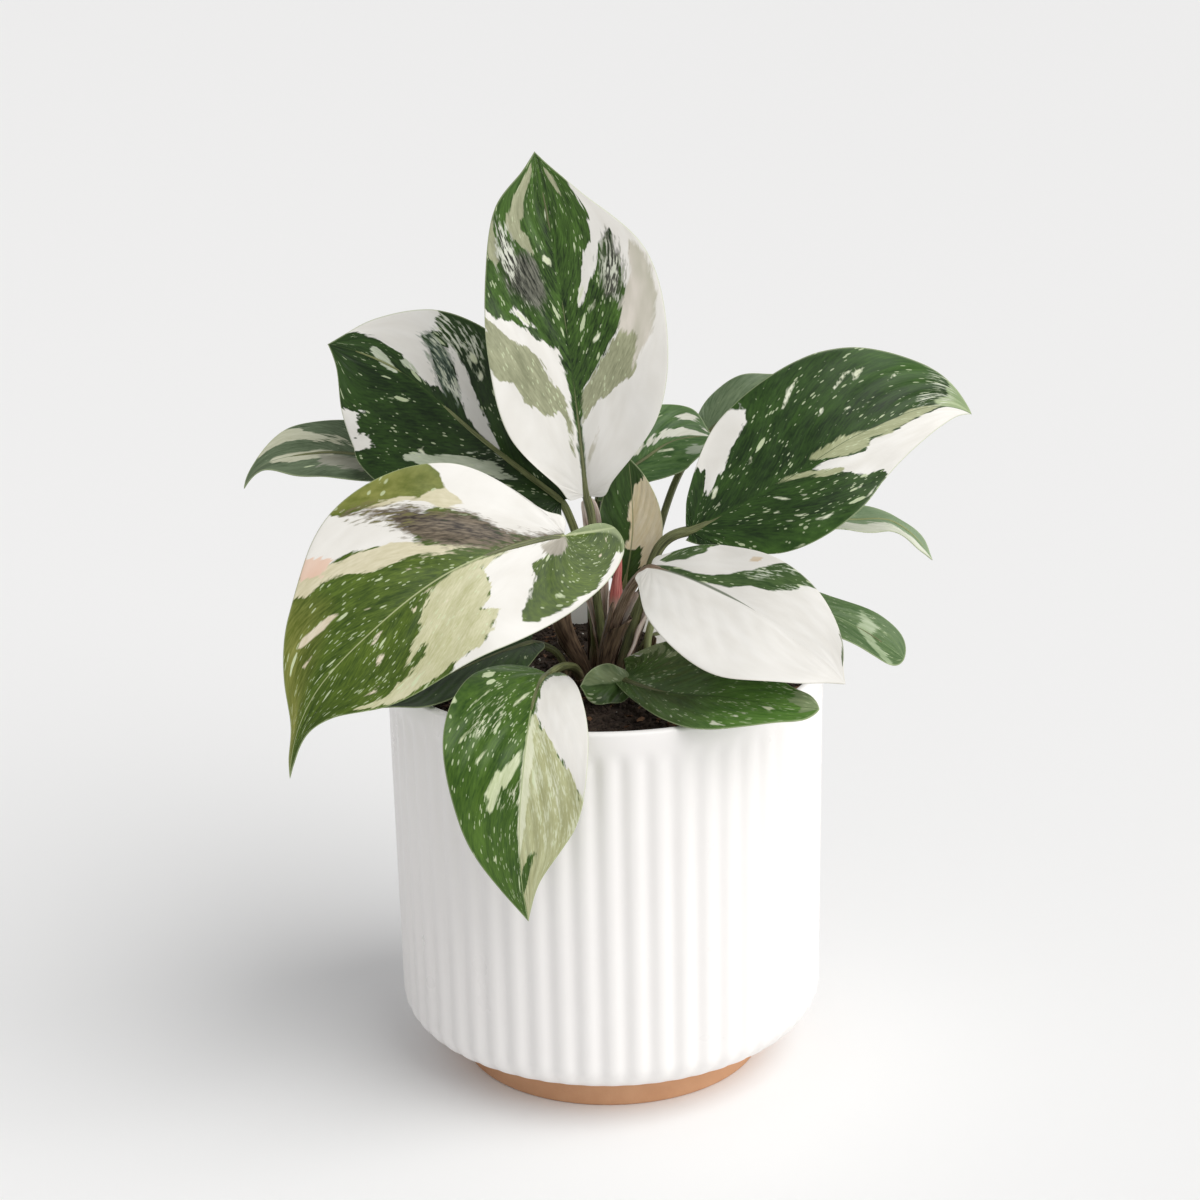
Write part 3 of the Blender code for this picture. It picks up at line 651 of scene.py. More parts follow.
def smooth_line(points, count=200):
    """A smooth line through the points, evenly spaced by length, and its length."""
    points = np.array(points, float)
    last = len(points) - 1
    steps = np.linalg.norm(np.diff(points, axis=0), axis=1) ** 0.5
    knots = np.concatenate([[0], np.cumsum(steps)])
    slopes = np.diff(points, axis=0) / steps[:, None]
    weighed = slopes[:-1] * steps[1:, None] + slopes[1:] * steps[:-1, None]
    inner = weighed / (steps[:-1] + steps[1:])[:, None]
    if last > 1:
        tangents = np.vstack([2 * slopes[0] - inner[0], inner, 2 * slopes[-1] - inner[-1]])
    else:
        tangents = np.vstack([slopes[0], slopes[0]])
    along = np.linspace(0, knots[-1], 4 * count)
    k = np.clip(np.searchsorted(knots, along, side="right") - 1, 0, last - 1)
    width = steps[k][:, None]
    s = (along - knots[k])[:, None] / width
    line = (
        (2 * s**3 - 3 * s**2 + 1) * points[k]
        + (s**3 - 2 * s**2 + s) * width * tangents[k]
        + (3 * s**2 - 2 * s**3) * points[k + 1]
        + (s**3 - s**2) * width * tangents[k + 1]
    )
    length = np.concatenate([[0], np.cumsum(np.linalg.norm(np.diff(line, axis=0), axis=1))])
    even = np.linspace(0, length[-1], count)
    spaced = [np.interp(even, length, line[:, i]) for i in range(points.shape[1])]
    return np.stack(spaced, -1), length[-1]


def sample(line, share):
    """Points of an evenly spaced line at shares of its length."""
    place = np.clip(share, 0, 1) * (len(line) - 1)
    low = np.clip(place.astype(int), 0, len(line) - 2)
    part = (place - low)[..., None]
    return line[low] * (1 - part) + line[low + 1] * part


def directions(leaf, midrib):
    """The way the midrib runs, the way the upper face looks and the way across, all along the midrib."""
    tangent = unit(np.gradient(midrib, axis=0))
    looks = unit(np.array(leaf["face"], float))
    face = sample(looks, np.linspace(0, 1, len(midrib)))
    normal = unit(face - (face * tangent).sum(1, keepdims=True) * tangent)
    return tangent, normal, np.cross(tangent, normal)


def flat_half(leaf, side, length, share, across):
    """One half of the flat blade: where each vein row meets each column, along and aside of the midrib.

    With each place come the half's side, the row's share of the outline, the column's share of the width
    and the way left to the margin.
    """
    half = 0 if side < 0 else 1
    widths = leaf[("left", "right")[half]]
    lobe = leaf["lobes"][half]
    outline = [(-lobe, LOBE_WIDTH * widths[0]), (-LOBE_TURN[0] * lobe, LOBE_TURN[1] * widths[0])]
    outline = leaf.get("lobe_outlines", (outline, outline))[half]
    outline = outline + [(t * length, w) for t, w in zip(STATIONS, widths)]
    tip = leaf.get("tip", TIP)
    outline += [(tip[0] * length, tip[1] * widths[-1]), (length, 0)]
    edge = sample(smooth_line(outline)[0], share)
    foot = length * np.clip((share - VEIN_FAN) / (1 - VEIN_FAN), 0, 1) ** VEIN_LAG
    across = across[:, None]
    along = foot + (edge[:, 0] - foot) * across**VEIN_BOW
    aside = side * edge[:, 1] * across
    margin = edge[:, 1] * (1 - across)
    flat = 0 * along.T
    return along.T, aside.T, side + flat, share[:, None] + flat, flat + across.T, margin.T


def bend(leaf, midrib, length, along, aside, half, share, across):
    """Places flat blade points in space on the bent, folded and waved leaf."""
    tangent, normal, sideways = directions(leaf, midrib)
    at = along / length
    folds = [np.interp(at, (0, 0.5, 1), fold) for fold in leaf["fold"]]
    fold = np.radians(np.where(half < 0, *folds))
    turn = 2 * math.pi * WAVE_COUNT * share + WAVE_LAG * (half > 0)
    wave = WAVE_HEIGHT * np.sin(turn) * across**2 * np.sin(math.pi * share)
    outward_way = (aside * np.cos(fold))[..., None] * unit(sample(sideways, at))
    rise = (np.sqrt(aside**2 + FOLD_SOFTNESS**2) - FOLD_SOFTNESS) * (aside * half > 0)
    upward = (rise * np.sin(fold) + wave)[..., None] * unit(sample(normal, at))
    backward = np.minimum(along, 0)[..., None] * unit(sample(tangent, at))
    return sample(midrib, at) + backward + outward_way + upward


def vein_place(length, along, aside, across, margin):
    """Where each place lies across the veins and along them.

    Veins arch forward from the midrib to the margin. Round the seat they fan out and curl round the lobes.
    """
    width = margin + np.abs(aside)
    ahead = along - VEIN_REACH * length * across
    first = np.arctan2(width, VEIN_REACH * length)
    behind = np.arctan2(np.abs(aside), along) - first
    reach = np.hypot(along, aside)
    curl = np.maximum(behind, 0)
    fan = FAN_CURL * curl**2 / (1 + curl) * reach - FAN_RADIUS * behind
    apart = np.where(ahead < 0, fan, VEIN_CLOSENESS * ahead)
    onward = np.where(ahead < 0, reach + FAN_ONWARD * curl, across * np.hypot(VEIN_REACH * length, width))
    return apart, onward


def depth_in(patches, x, y, length, span):
    """How far each place lies inside the patches, in millimetres: less than nothing outside them."""
    deepest = np.full(x.shape, -PATCH_REACH)
    for patch in patches:
        corners = np.array(patch, float) * (length, span)
        after = np.roll(corners, -1, axis=0)
        edge = after - corners
        way = np.stack([x, y], -1)[..., None, :] - corners
        part = np.clip((way * edge).sum(-1) / (edge**2).sum(-1), 0, 1)
        gap = np.linalg.norm(way - part[..., None] * edge, axis=-1).min(-1)
        level = (corners[:, 1] > y[..., None]) != (after[:, 1] > y[..., None])
        slope = edge[:, 0] / np.where(edge[:, 1] == 0, 1, edge[:, 1])
        right = x[..., None] < corners[:, 0] + way[..., 1] * slope
        inside = (level & right).sum(-1) % 2 == 1
        deepest = np.maximum(deepest, np.where(inside, gap, -gap))
    return np.clip(deepest, -PATCH_REACH, PATCH_REACH)


def grid_faces(rows, columns, closed):
    """Quads between neighbouring rows and columns of points. Closed rows join last column to first."""
    faces = []
    for row in range(rows - 1):
        for column in range(columns if closed else columns - 1):
            after = (column + 1) % columns
            a, b = row * columns + column, row * columns + after
            faces.append((a, b, b + columns, a + columns))
    return np.array(faces)


def blade(leaf, grid, seed):
    """A blade as a thin closed shell with a rounded margin, sunken veins and a softly swelling face."""
    rows, columns = grid
    midrib, length = smooth_line(leaf["midrib"])
    share = np.linspace(0, 1, rows + 1)
    share = np.unique(np.concatenate([share, [END_STEPS[0], ROUNDED_ENDS[0], ROUNDED_ENDS[1], END_STEPS[1]]]))
    across = np.linspace(0, MARGIN_STEPS[0], columns - len(MARGIN_STEPS) + 2)[:-1]
    across = np.concatenate([across, MARGIN_STEPS])
    halves = [flat_half(leaf, side, length, share, across) for side in (-1, 1)]
    whole = [np.concatenate([a[:, :0:-1], b], axis=1) for a, b in zip(*halves)]
    along, aside, half, share, across, margin = whole
    place = bend(leaf, midrib, length, along, aside, half, share, across)
    onward = [bend(leaf, midrib, length, along + e, aside, half, share, across) for e in (1, -1)]
    sideward = [bend(leaf, midrib, length, along, aside + e, half, share, across) for e in (1, -1)]
    up = unit(np.cross(sideward[0] - sideward[1], onward[0] - onward[1]))
    rounding = [
        np.clip((across - ROUNDED_MARGIN) / (1 - ROUNDED_MARGIN), 0, 1),
        np.clip((ROUNDED_ENDS[0] - share) / ROUNDED_ENDS[0], 0, 1),
        np.clip((share - ROUNDED_ENDS[1]) / (1 - ROUNDED_ENDS[1]), 0, 1),
    ]
    full = np.prod([np.sqrt(1 - r**2) for r in rounding], axis=0)
    span = np.mean(leaf["left"] + leaf["right"])
    width = leaf.get("rib_width", RIB_MARK_WIDTH) * (RIB_MARK_TAPER - share) + RIB_MARK_LEAST
    width = width * np.clip((leaf.get("rib_end", 2) - share) * RIB_MARK_FADE, 0.01, 1)
    marks = {"rib": 1 - np.abs(aside) / width, "rim": margin, "under": 0 * along}
    marks["calm"] = leaf.get("ragged", 1) * np.clip(np.abs(aside) / CALM_WIDTH, 0.1, 1)
    for kind in LAYERS:
        marks[kind] = depth_in(leaf.get(kind, []), share * length, half * across * span, length, span)
    draw = np.random.default_rng(seed)
    relief = 0 * along
    for _ in range(SWELL_WAVES):
        turn, phase = draw.uniform(0, math.pi), draw.uniform(0, 2 * math.pi)
        wave = draw.uniform(*SWELL_LENGTHS)
        travelled = along * math.cos(turn) + aside * math.sin(turn)
        relief += SWELL / SWELL_SHARE * np.sin(2 * math.pi * travelled / wave + phase)
    apart, onward = vein_place(length, along, aside, across, margin)
    between = apart / (VEIN_SPACING * length) + VEIN_SHIFT * (half > 0)
    sunk = np.abs((between + 0.5) % 1 - 0.5) * VEIN_SPACING * length
    edges, ribs, seat = VEIN_CALM
    quiet = np.clip((1 - across) * edges, 0, 1) * np.clip(across * ribs, 0, 1) * np.clip(onward / seat, 0, 1)
    quiet *= 1 - WHITE_CALM * np.clip(marks["white"] / 4 + 0.5, 0, 1)
    rounded = VEIN_ROUNDNESS * np.cos(2 * math.pi * between + math.pi)
    relief += quiet * VEIN_DEPTH * (rounded - np.exp(-((sunk / VEIN_GROOVE_WIDTH) ** 2)))
    groove = MIDRIB_GROOVE * np.exp(-((aside / MIDRIB_GROOVE_WIDTH) ** 2)) * np.clip(1.1 - share, 0, 1)
    relief = relief * np.clip(margin / RELIEF_CALM[0], 0, 1) * np.clip((1 - share) * RELIEF_CALM[1], 0, 1)
    middle = -SKIN_DROP - SKIN_THICKNESS / 2 + relief
    upper = place + (middle + full * (SKIN_THICKNESS / 2 - groove))[..., None] * up
    lower = place + (middle - full * SKIN_THICKNESS / 2)[..., None] * up
    faces = grid_faces(*along.shape, closed=False)
    points = np.concatenate([upper.reshape(-1, 3), lower.reshape(-1, 3)])
    side = np.clip(aside / HALF_BLEND, -1, 1)
    marks = {kind: np.concatenate([m.ravel()] * 2) for kind, m in marks.items()}
    marks["under"][along.size :] = 1
    veins = np.stack([apart, onward, HALF_STEP * side + SEED_STEP * seed], -1).reshape(-1, 3)
    marks["veins"] = np.concatenate([veins] * 2)
    marks["papery"] = marks["fresh"] = np.zeros(len(points))
    faces = np.concatenate([faces, faces[:, ::-1] + along.size])
    return {"points": points, "faces": faces, "marks": marks, "slot": 0}


def stalk_line(leaf, rings=110):
    """The line of the stalk, which runs on under the blade as its midrib.

    Gives its points, radii, ways up and out, the way along it, and where the blade sits.
    """
    midrib, _ = smooth_line(leaf["midrib"])
    normal = directions(leaf, midrib)[1]
    radius = leaf["radius"]
    x, y = leaf["root"]
    middle = (STALK_BOTTOM + STALK_STRAIGHT_TO) / 2
    root = [(x, y, STALK_BOTTOM), (x, y, middle), (x, y, STALK_STRAIGHT_TO)]
    seat = midrib[0] - normal[0] * STALK_SEAT_DROP * radius
    path, reach = smooth_line(root + leaf["stalk"] + [tuple(seat)])
    rib_share = np.linspace(0, RIB_SHARES[-1], RIB_POINTS)
    thickness = [s * radius for s in RIB_THICKNESS] + [RIB_TIP[0]]
    drop = np.interp(rib_share, RIB_SHARES, [s * radius for s in RIB_DROP] + [RIB_TIP[1]])
    drop = drop + leaf.get("rib_sink", 0) * np.clip(3 * rib_share, 0, 1)
    under = sample(midrib, rib_share) - drop[:, None] * unit(sample(normal, rib_share))
    line = np.concatenate([path[:-1], under])
    radii = np.linspace(radius, STALK_TAPER * radius, len(path) - 1)
    radii = np.concatenate([radii, np.interp(rib_share, RIB_SHARES, thickness)])
    reached = np.concatenate([[0], np.cumsum(np.linalg.norm(np.diff(line, axis=0), axis=1))])
    even = np.linspace(0, reached[-1], rings)
    line = np.stack([np.interp(even, reached, line[:, i]) for i in range(3)], -1)
    radii = np.interp(even, reached, radii)
    for _ in range(STALK_SMOOTHING):
        line[1:-1] = (line[:-2] + 2 * line[1:-1] + line[2:]) / 4
    start = int(np.searchsorted(even, reach))
    tangent = unit(np.gradient(line, axis=0))
    up = np.zeros_like(line)
    up[start] = unit(normal[0] - (normal[0] @ tangent[start]) * tangent[start])
    for i in range(start + 1, rings):
        up[i] = unit(up[i - 1] - (up[i - 1] @ tangent[i]) * tangent[i])
    for i in range(start - 1, -1, -1):
        up[i] = unit(up[i + 1] - (up[i + 1] @ tangent[i]) * tangent[i])
    return line, radii, up, np.cross(tangent, up), even, start


def stalk(leaf, seed, sides=24):
    """The stalk as a closed tube, flared at its foot, ribbed along its length and channelled on top."""
    line, radii, up, out, even, start = stalk_line(leaf)
    past = np.arange(len(line)) >= start
    above = np.where(past, 1, np.clip((line[:, 2] - BROWN_UP_TO) / BROWN_FADE, 0, 1))
    radii = radii * (1 + FOOT_FLARE * (1 - above) ** 2)
    turn = np.linspace(0, 2 * math.pi, sides, endpoint=False)
    ribbed = 1 + leaf.get("ribs", RIB_DEPTH) * np.cos(STALK_RIBS * turn + seed)
    ribbed -= CHANNEL_DEPTH * np.exp(-((np.minimum(turn, 2 * math.pi - turn) / CHANNEL_WIDTH) ** 2))
    round_way = np.cos(turn)[:, None, None] * up + np.sin(turn)[:, None, None] * out
    skin = line + (ribbed[:, None] * radii)[..., None] * round_way
    skin = skin.transpose(1, 0, 2)
    skin = np.concatenate([skin[:1] * 0 + line[0], skin, skin[:1] * 0 + line[-1]])
    rows = len(skin)
    length = np.concatenate([even[:1], even, even[-1:]])
    across = np.broadcast_to(turn * leaf["radius"], (rows, sides))
    onward = np.broadcast_to(length[:, None], (rows, sides))
    marks = {kind: np.zeros(rows * sides) for kind in ("rib", "rim", "under", "calm", "fresh", *LAYERS)}
    marks["veins"] = np.stack([across, onward, np.full((rows, sides), SEED_STEP * seed)], -1).reshape(-1, 3)
    marks["papery"] = np.repeat(1 - np.concatenate([above[:1], above, above[-1:]]), sides)
    faces = grid_faces(rows, sides, closed=True)
    return {"points": skin.reshape(-1, 3), "faces": faces, "marks": marks, "slot": 1}


def sheath(leaf, seed, low, high, turn, spread, flare, fresh, rows=26, columns=19):
    """A thin sheath that wraps the stalk between two heights and ends in a point: papery, or fresh."""
    line, _, up, out, _, start = stalk_line(leaf)
    heights = np.maximum.accumulate(line[: start + 1, 2])
    share = np.linspace(0, 1, rows)
    at = np.interp(low + (high - low) * share, heights, np.arange(start + 1)) / (len(line) - 1)
    middle, up, out = sample(line, at), unit(sample(up, at)), unit(sample(out, at))
    radius = SHEATH_LOOSENESS * leaf["radius"] + flare * share**2
    across = np.linspace(-1, 1, columns)
    narrowing = np.sqrt(1 - share**3)
    ragged = SHEATH_RAGGED * np.sin(RAGGED_WAVES * share + seed) * narrowing
    angle = math.radians(turn) + math.radians(spread) * (narrowing + ragged)[:, None] * across
    round_way = np.cos(angle)[..., None] * up[:, None] + np.sin(angle)[..., None] * out[:, None]
    fold = 1 + SHEATH_FOLD * np.cos(SHEATH_FOLD_WAVES[0] * across + SHEATH_FOLD_WAVES[1] * share[:, None])
    full = np.sqrt(np.clip(1 - across**4, 0, 1)) * np.sqrt(np.clip(1 - share**12, 0, 1))[:, None]
    outer = middle[:, None] + ((radius[:, None] * fold) + SHEATH_HALF * full)[..., None] * round_way
    inner = middle[:, None] + ((radius[:, None] * fold) - SHEATH_HALF * full)[..., None] * round_way
    outer[0] = inner[0] = (outer[0] + inner[0]) / 2
    faces = grid_faces(rows, columns, closed=False)
    count = rows * columns
    marks = {kind: np.zeros(2 * count) for kind in ("rib", "rim", "under", "calm", *LAYERS)}
    marks["papery"] = np.full(2 * count, 0.0 if fresh else 1.6)
    marks["fresh"] = np.full(2 * count, 1.0 if fresh else 0.0)
    upward = middle[:, None, 2] + 0 * angle
    veins = np.stack([angle * leaf["radius"], upward, 0 * angle + SHEATH_STEP * seed], -1)
    marks["veins"] = np.concatenate([veins.reshape(-1, 3)] * 2)
    points = np.concatenate([outer.reshape(-1, 3), inner.reshape(-1, 3)])
    faces = np.concatenate([faces, faces[:, ::-1] + count])
    return {"points": points, "faces": faces, "marks": marks, "slot": 1}


def grown(name, shells, materials):
    """One piece of several closed shells, with their marks as attributes of its points."""
    points, faces, slots, marks = [], [], [], {}
    for shell in shells:
        keys = np.round(shell["points"] / SAME_POINT).astype(int)
        _, first, back = np.unique(keys, axis=0, return_index=True, return_inverse=True)
        start = sum(len(p) for p in points)
        for face in back.ravel()[shell["faces"]]:
            corners = list(dict.fromkeys(face.tolist()))
            if len(corners) > 2:
                faces.append([start + c for c in corners])
                slots.append(shell["slot"])
        points.append(shell["points"][first])
        for kind, values in shell["marks"].items():
            marks.setdefault(kind, []).append(values[first])
    made = new_piece(name, np.concatenate(points), faces, materials, slots)
    for kind, values in marks.items():
        values = np.concatenate(values)
        if values.ndim == 2:
            made.data.attributes.new(kind, "FLOAT_VECTOR", "POINT").data.foreach_set("vector", values.ravel())
        else:
            made.data.attributes.new(kind, "FLOAT", "POINT").data.foreach_set("value", values)
    return made


# Leaf skin: living leaf with a thin waxy cuticle, which gives a soft broken shine. The colour lies in
# patches with edges that run out in fingers along the veins, and green parts carry small pale dashes.
# The dusk-and-sheen layer is dark grey-green with silvery streaks: partly the leaf's own dark patches, partly
# a painted sheen of reflected light on dark green.
LAYERS = ("fresh_green", "white", "sage", "cream", "mist", "green", "dusk", "mottle", "chip", "blush")
TONES = {
    "green": ("#1C360C", "#416420"),
    "fresh_green": ("#3F6420", "#678838"),
    "white": ("#DEDBD4", "#EAE8E3"),
    "sage": ("#96996F", "#BFC19C"),
    "cream": ("#CFC8A6", "#DFDABF"),
    "mist": ("#A9AA98", "#DAD8CF"),
    "dusk": ("#262F20", "#59634F"),
    "mottle": ("#A9B295", "#DCDFD0"),
    "chip": ("#C3CBA6", "#E2E4D2"),
    "blush": ("#D9B9A4", "#E6CFBE"),
    "rib": "#3A5422",
    "fleck": "#CBD6B0",
    "under": "#8FA073",
    "margin": "#AEBA90",
    "stalk": ("#43472A", "#7F8458"),
    "papery": ("#3A2B21", "#917A65"),
    "fresh": ("#D3B8A8", "#EADFD6"),
}
# Each size is in millimetres across and along the veins.
GRAIN = {
    "finger": (1.7, 8.0),
    "nick": (0.6, 2.4),
    "cloud": (5.0, 10.0),
    "shade": (14.0, 24.0),
    "streak": (0.55, 6.5),
    "dash": (2.0, 6.5),
    "fleck": (0.75, 1.8),
}
# How the two tones of a patch lie, which is in both patterns where nothing is said, and how far its edge
# blends either way.
LIE = {"white": "soft", "blush": "soft", "mist": "soft", "dusk": "fine", "mottle": "soft"}
BLEND = {"dusk": 1.0, "mist": 0.4, "mottle": 1.0}
CRISP = 0.22
# How far the edges fray along the veins: in long fingers and in short nicks, less for chips, more for the
# dusk-and-sheen patches.
FRAY_FINGERS = 5.0
FRAY_NICKS = 1.7
CHIP_FRAY = 0.3
DUSK_AND_SHEEN_FRAY = 4.0
DOT_FRAY = 0.3
# Pale dots: the level that a cell has to pass, what a leaf's own share takes off it, how much they gather
# in light clouds, their size and how pale they are.
DOTS = {"dash": (1.0, 0.17, 0.5, 3.2, 0.8), "fleck": (1.0, 0.36, 1.1, 1.3, 0.6)}
# Marks over the patches: the value where each begins, the value where it is full, and how much it covers.
OVER = [("rib", 0.0, 0.6, 0.8), ("rim", 0.4, 0.12, 0.5), ("under", 0.0, 1.0, 0.35)]
SMOOTHEST = 0.25
UNDERSIDE_ROUGHER = 0.2
UNEVEN_GLOSS = 0.16
STALK_STREAK = (0.45, 8)


def leaf_skin(name, tones, flecks):
    """The skin of one blade, painted patch over patch from the marks that the blade carries."""
    made, tree, shader = finish(name, IOR=1.42, Specular_IOR_Level=0.36)
    mix, math_node = "ShaderNodeMix", "ShaderNodeMath"
    noise, ranged = "ShaderNodeTexNoise", "ShaderNodeMapRange"
    place = node(tree, "ShaderNodeAttribute", attribute_name="veins").outputs["Vector"]
    marks = {
        kind: node(tree, "ShaderNodeAttribute", attribute_name=kind).outputs["Fac"]
        for kind in (*LAYERS, "rib", "rim", "under", "calm")
    }

    sized = {
        use: node(
            tree, "ShaderNodeVectorMath", {0: place}, {1: (1 / w, 1 / l, 1)}, operation="MULTIPLY"
        ).outputs[0]
        for use, (w, l) in GRAIN.items()
    }
    drawn = {
        use: node(
            tree, noise, {"Vector": sized[use]}, {"Scale": 1, "Detail": 2, "Roughness": 0.55}
        ).outputs[0]
        for use in ("finger", "nick", "cloud", "shade", "streak")
    }
    far = node(
        tree, math_node, {0: drawn["finger"], 1: FRAY_FINGERS, 2: -FRAY_FINGERS / 2}, operation="MULTIPLY_ADD"
    ).outputs[0]
    near = node(
        tree, math_node, {0: drawn["nick"], 1: FRAY_NICKS, 2: -FRAY_NICKS / 2}, operation="MULTIPLY_ADD"
    ).outputs[0]
    rough = node(tree, math_node, {0: far, 1: near}, operation="ADD").outputs[0]
    ragged = node(tree, math_node, {0: rough, 1: marks["calm"]}, operation="MULTIPLY").outputs[0]
    crisp = node(tree, math_node, {0: ragged, 1: CHIP_FRAY}, operation="MULTIPLY").outputs[0]

    # Three patterns set how the two tones of a patch lie: soft clouds, fine streaks, and both together.
    soft = node(tree, math_node, {0: drawn["cloud"], 1: drawn["shade"]}, operation="ADD").outputs[0]
    fine = node(tree, math_node, {0: drawn["streak"], 1: drawn["nick"]}, operation="ADD").outputs[0]
    both = node(tree, math_node, {0: soft, 1: fine}, operation="ADD").outputs[0]
    lying = {
        "soft": node(tree, ranged, {"Value": soft, "From Min": 0.7, "From Max": 1.3}).outputs[0],
        "both": node(tree, ranged, {"Value": both, "From Min": 1.6, "From Max": 2.4}).outputs[0],
        "fine": node(tree, ranged, {"Value": fine, "From Min": 0.75, "From Max": 1.25}).outputs[0],
    }
    painted = {}
    for kind in LAYERS:
        low, high = [linear(c) for c in tones[kind]]
        factor = lying[LIE.get(kind, "both")]
        painted[kind] = node(tree, mix, {0: factor, 6: low, 7: high}, data_type="RGBA").outputs[2]
    fresh = node(tree, ranged, {"Value": marks["fresh_green"], "From Min": -5, "From Max": 6}).outputs[0]
    turned_fresh = {0: fresh, 6: painted["green"], 7: painted["fresh_green"]}
    painted["green"] = node(tree, mix, turned_fresh, data_type="RGBA").outputs[2]

    # Pale dashes and dots: a few cells of a stretched pattern hold one, and more do in light clouds.
    broken = node(
        tree, math_node, {0: drawn["nick"], 1: DOT_FRAY, 2: -DOT_FRAY / 2}, operation="MULTIPLY_ADD"
    ).outputs[0]
    for own, (use, (level, share, gather, size, strength)) in zip(flecks, DOTS.items()):
        few = level - share * own
        cells = node(tree, "ShaderNodeTexVoronoi", {"Vector": sized[use], "Scale": 1, "Randomness": 1})
        chance = node(tree, "ShaderNodeSeparateXYZ", {0: cells.outputs["Color"]}).outputs[0]
        bias = {0: drawn["cloud"], 1: gather, 2: -0.5 * gather - few}
        bias = node(tree, math_node, bias, operation="MULTIPLY_ADD").outputs[0]
        excess = node(tree, math_node, {0: chance, 1: bias}, operation="ADD").outputs[0]
        reach = node(tree, math_node, {0: excess, 1: size}, operation="MULTIPLY").outputs[0]
        reach = node(tree, math_node, {0: reach, 1: 0.4}, operation="MINIMUM").outputs[0]
        reach = node(tree, math_node, {0: reach, 1: broken}, operation="ADD").outputs[0]
        edge = node(
            tree, math_node, {0: reach, 1: cells.outputs["Distance"]}, operation="SUBTRACT"
        ).outputs[0]
        dot = node(
            tree, ranged, {"Value": edge, "From Min": -0.04, "From Max": 0.05, "To Max": strength}
        ).outputs[0]
        held = node(tree, math_node, {0: excess, 1: 0.0}, operation="GREATER_THAN").outputs[0]
        dot = node(tree, math_node, {0: dot, 1: held}, operation="MULTIPLY").outputs[0]
        for kind in ("green", "sage"):
            spotted = {0: dot, 6: painted[kind], 7: linear(tones["fleck"])}
            painted[kind] = node(tree, mix, spotted, data_type="RGBA").outputs[2]

    # Patch over patch. A patch's edge is where its mark and the ragged pattern sum to nothing. The
    # dusk-and-sheen patches, dark grey-green partly under a painted sheen, fray in streaks, and mottling lies
    # in broken spots.
    colour = painted["green"]
    frayed = node(
        tree, math_node, {0: fine, 1: DUSK_AND_SHEEN_FRAY, 2: -DUSK_AND_SHEEN_FRAY}, operation="MULTIPLY_ADD"
    ).outputs[0]
    spots = node(tree, math_node, {0: drawn["cloud"], 1: 0.7, 2: fine}, operation="MULTIPLY_ADD").outputs[0]
    spots = node(tree, ranged, {"Value": spots, "From Min": 1.36, "From Max": 1.52, "To Max": 0.9}).outputs[0]
    for kind in LAYERS[1:]:
        rough = crisp if kind == "chip" else ragged
        edge = node(tree, math_node, {0: marks[kind], 1: rough}, operation="ADD").outputs[0]
        if kind == "dusk":
            edge = node(tree, math_node, {0: edge, 1: frayed}, operation="ADD").outputs[0]
        width = BLEND.get(kind, CRISP)
        cover = node(tree, ranged, {"Value": edge, "From Min": -width, "From Max": width}).outputs[0]
        if kind == "mottle":
            cover = node(tree, math_node, {0: cover, 1: spots}, operation="MULTIPLY").outputs[0]
        colour = node(tree, mix, {0: cover, 6: colour, 7: painted[kind]}, data_type="RGBA").outputs[2]

    for kind, start, end, most in OVER:
        tone = linear(tones["margin" if kind == "rim" else kind])
        cover = {"Value": marks[kind], "From Min": start, "From Max": end, "To Max": most}
        cover = node(tree, ranged, cover).outputs[0]
        colour = node(tree, mix, {0: cover, 6: colour, 7: tone}, data_type="RGBA").outputs[2]
    tree.links.new(colour, shader.inputs["Base Color"])

    raised = node(tree, "ShaderNodeBump", {"Height": fine, "Strength": 0.15, "Distance": 0.08 * MM})
    tree.links.new(raised.outputs[0], shader.inputs["Normal"])
    dull = node(
        tree, math_node, {0: marks["under"], 1: UNDERSIDE_ROUGHER, 2: SMOOTHEST}, operation="MULTIPLY_ADD"
    ).outputs[0]
    dull = node(
        tree, math_node, {0: drawn["nick"], 1: UNEVEN_GLOSS, 2: dull}, operation="MULTIPLY_ADD"
    ).outputs[0]
    tree.links.new(dull, shader.inputs["Roughness"])
    return made


def stalk_skin(name, tones):
    """The skin of one stalk: fleshy, streaked along its length and brown at its foot, with its sheaths."""
    made, tree, shader = finish(name, Roughness=0.42, IOR=1.42, Coat_Weight=0.08, Coat_Roughness=0.3)
    mix, noise, ranged = "ShaderNodeMix", "ShaderNodeTexNoise", "ShaderNodeMapRange"
    place = node(tree, "ShaderNodeAttribute", attribute_name="veins").outputs["Vector"]
    fine = node(
        tree, "ShaderNodeVectorMath", {0: place}, {1: (1 / STALK_STREAK[0], 1 / STALK_STREAK[1], 1)},
        operation="MULTIPLY"
    )
    fine = node(
        tree, noise, {"Vector": fine.outputs[0]}, {"Scale": 1, "Detail": 3, "Roughness": 0.6}
    ).outputs[0]
    fade = node(tree, ranged, {"Value": fine}, {"From Min": 0.35, "From Max": 0.65}).outputs[0]
    painted = {}
    for kind in ("stalk", "papery", "fresh"):
        low, high = [linear(c) for c in tones[kind]]
        painted[kind] = node(tree, mix, {0: fade}, {6: low, 7: high}, data_type="RGBA").outputs[2]
    colour = painted["stalk"]
    for kind, start, end in [("papery", 0.75, 1.25), ("fresh", 0.9, 1.0)]:
        mark = node(tree, "ShaderNodeAttribute", attribute_name=kind).outputs["Fac"]
        mark = node(tree, "ShaderNodeMath", {0: mark, 1: fine}, operation="ADD")
        cover = node(tree, ranged, {"Value": mark.outputs[0]}, {"From Min": start, "From Max": end})
        colour = node(
            tree, mix, {0: cover.outputs[0], 6: colour, 7: painted[kind]}, data_type="RGBA"
        ).outputs[2]
    tree.links.new(colour, shader.inputs["Base Color"])
    raised = node(tree, "ShaderNodeBump", {"Height": fine}, {"Strength": 0.5, "Distance": 0.2 * MM})
    tree.links.new(raised.outputs[0], shader.inputs["Normal"])
    return made


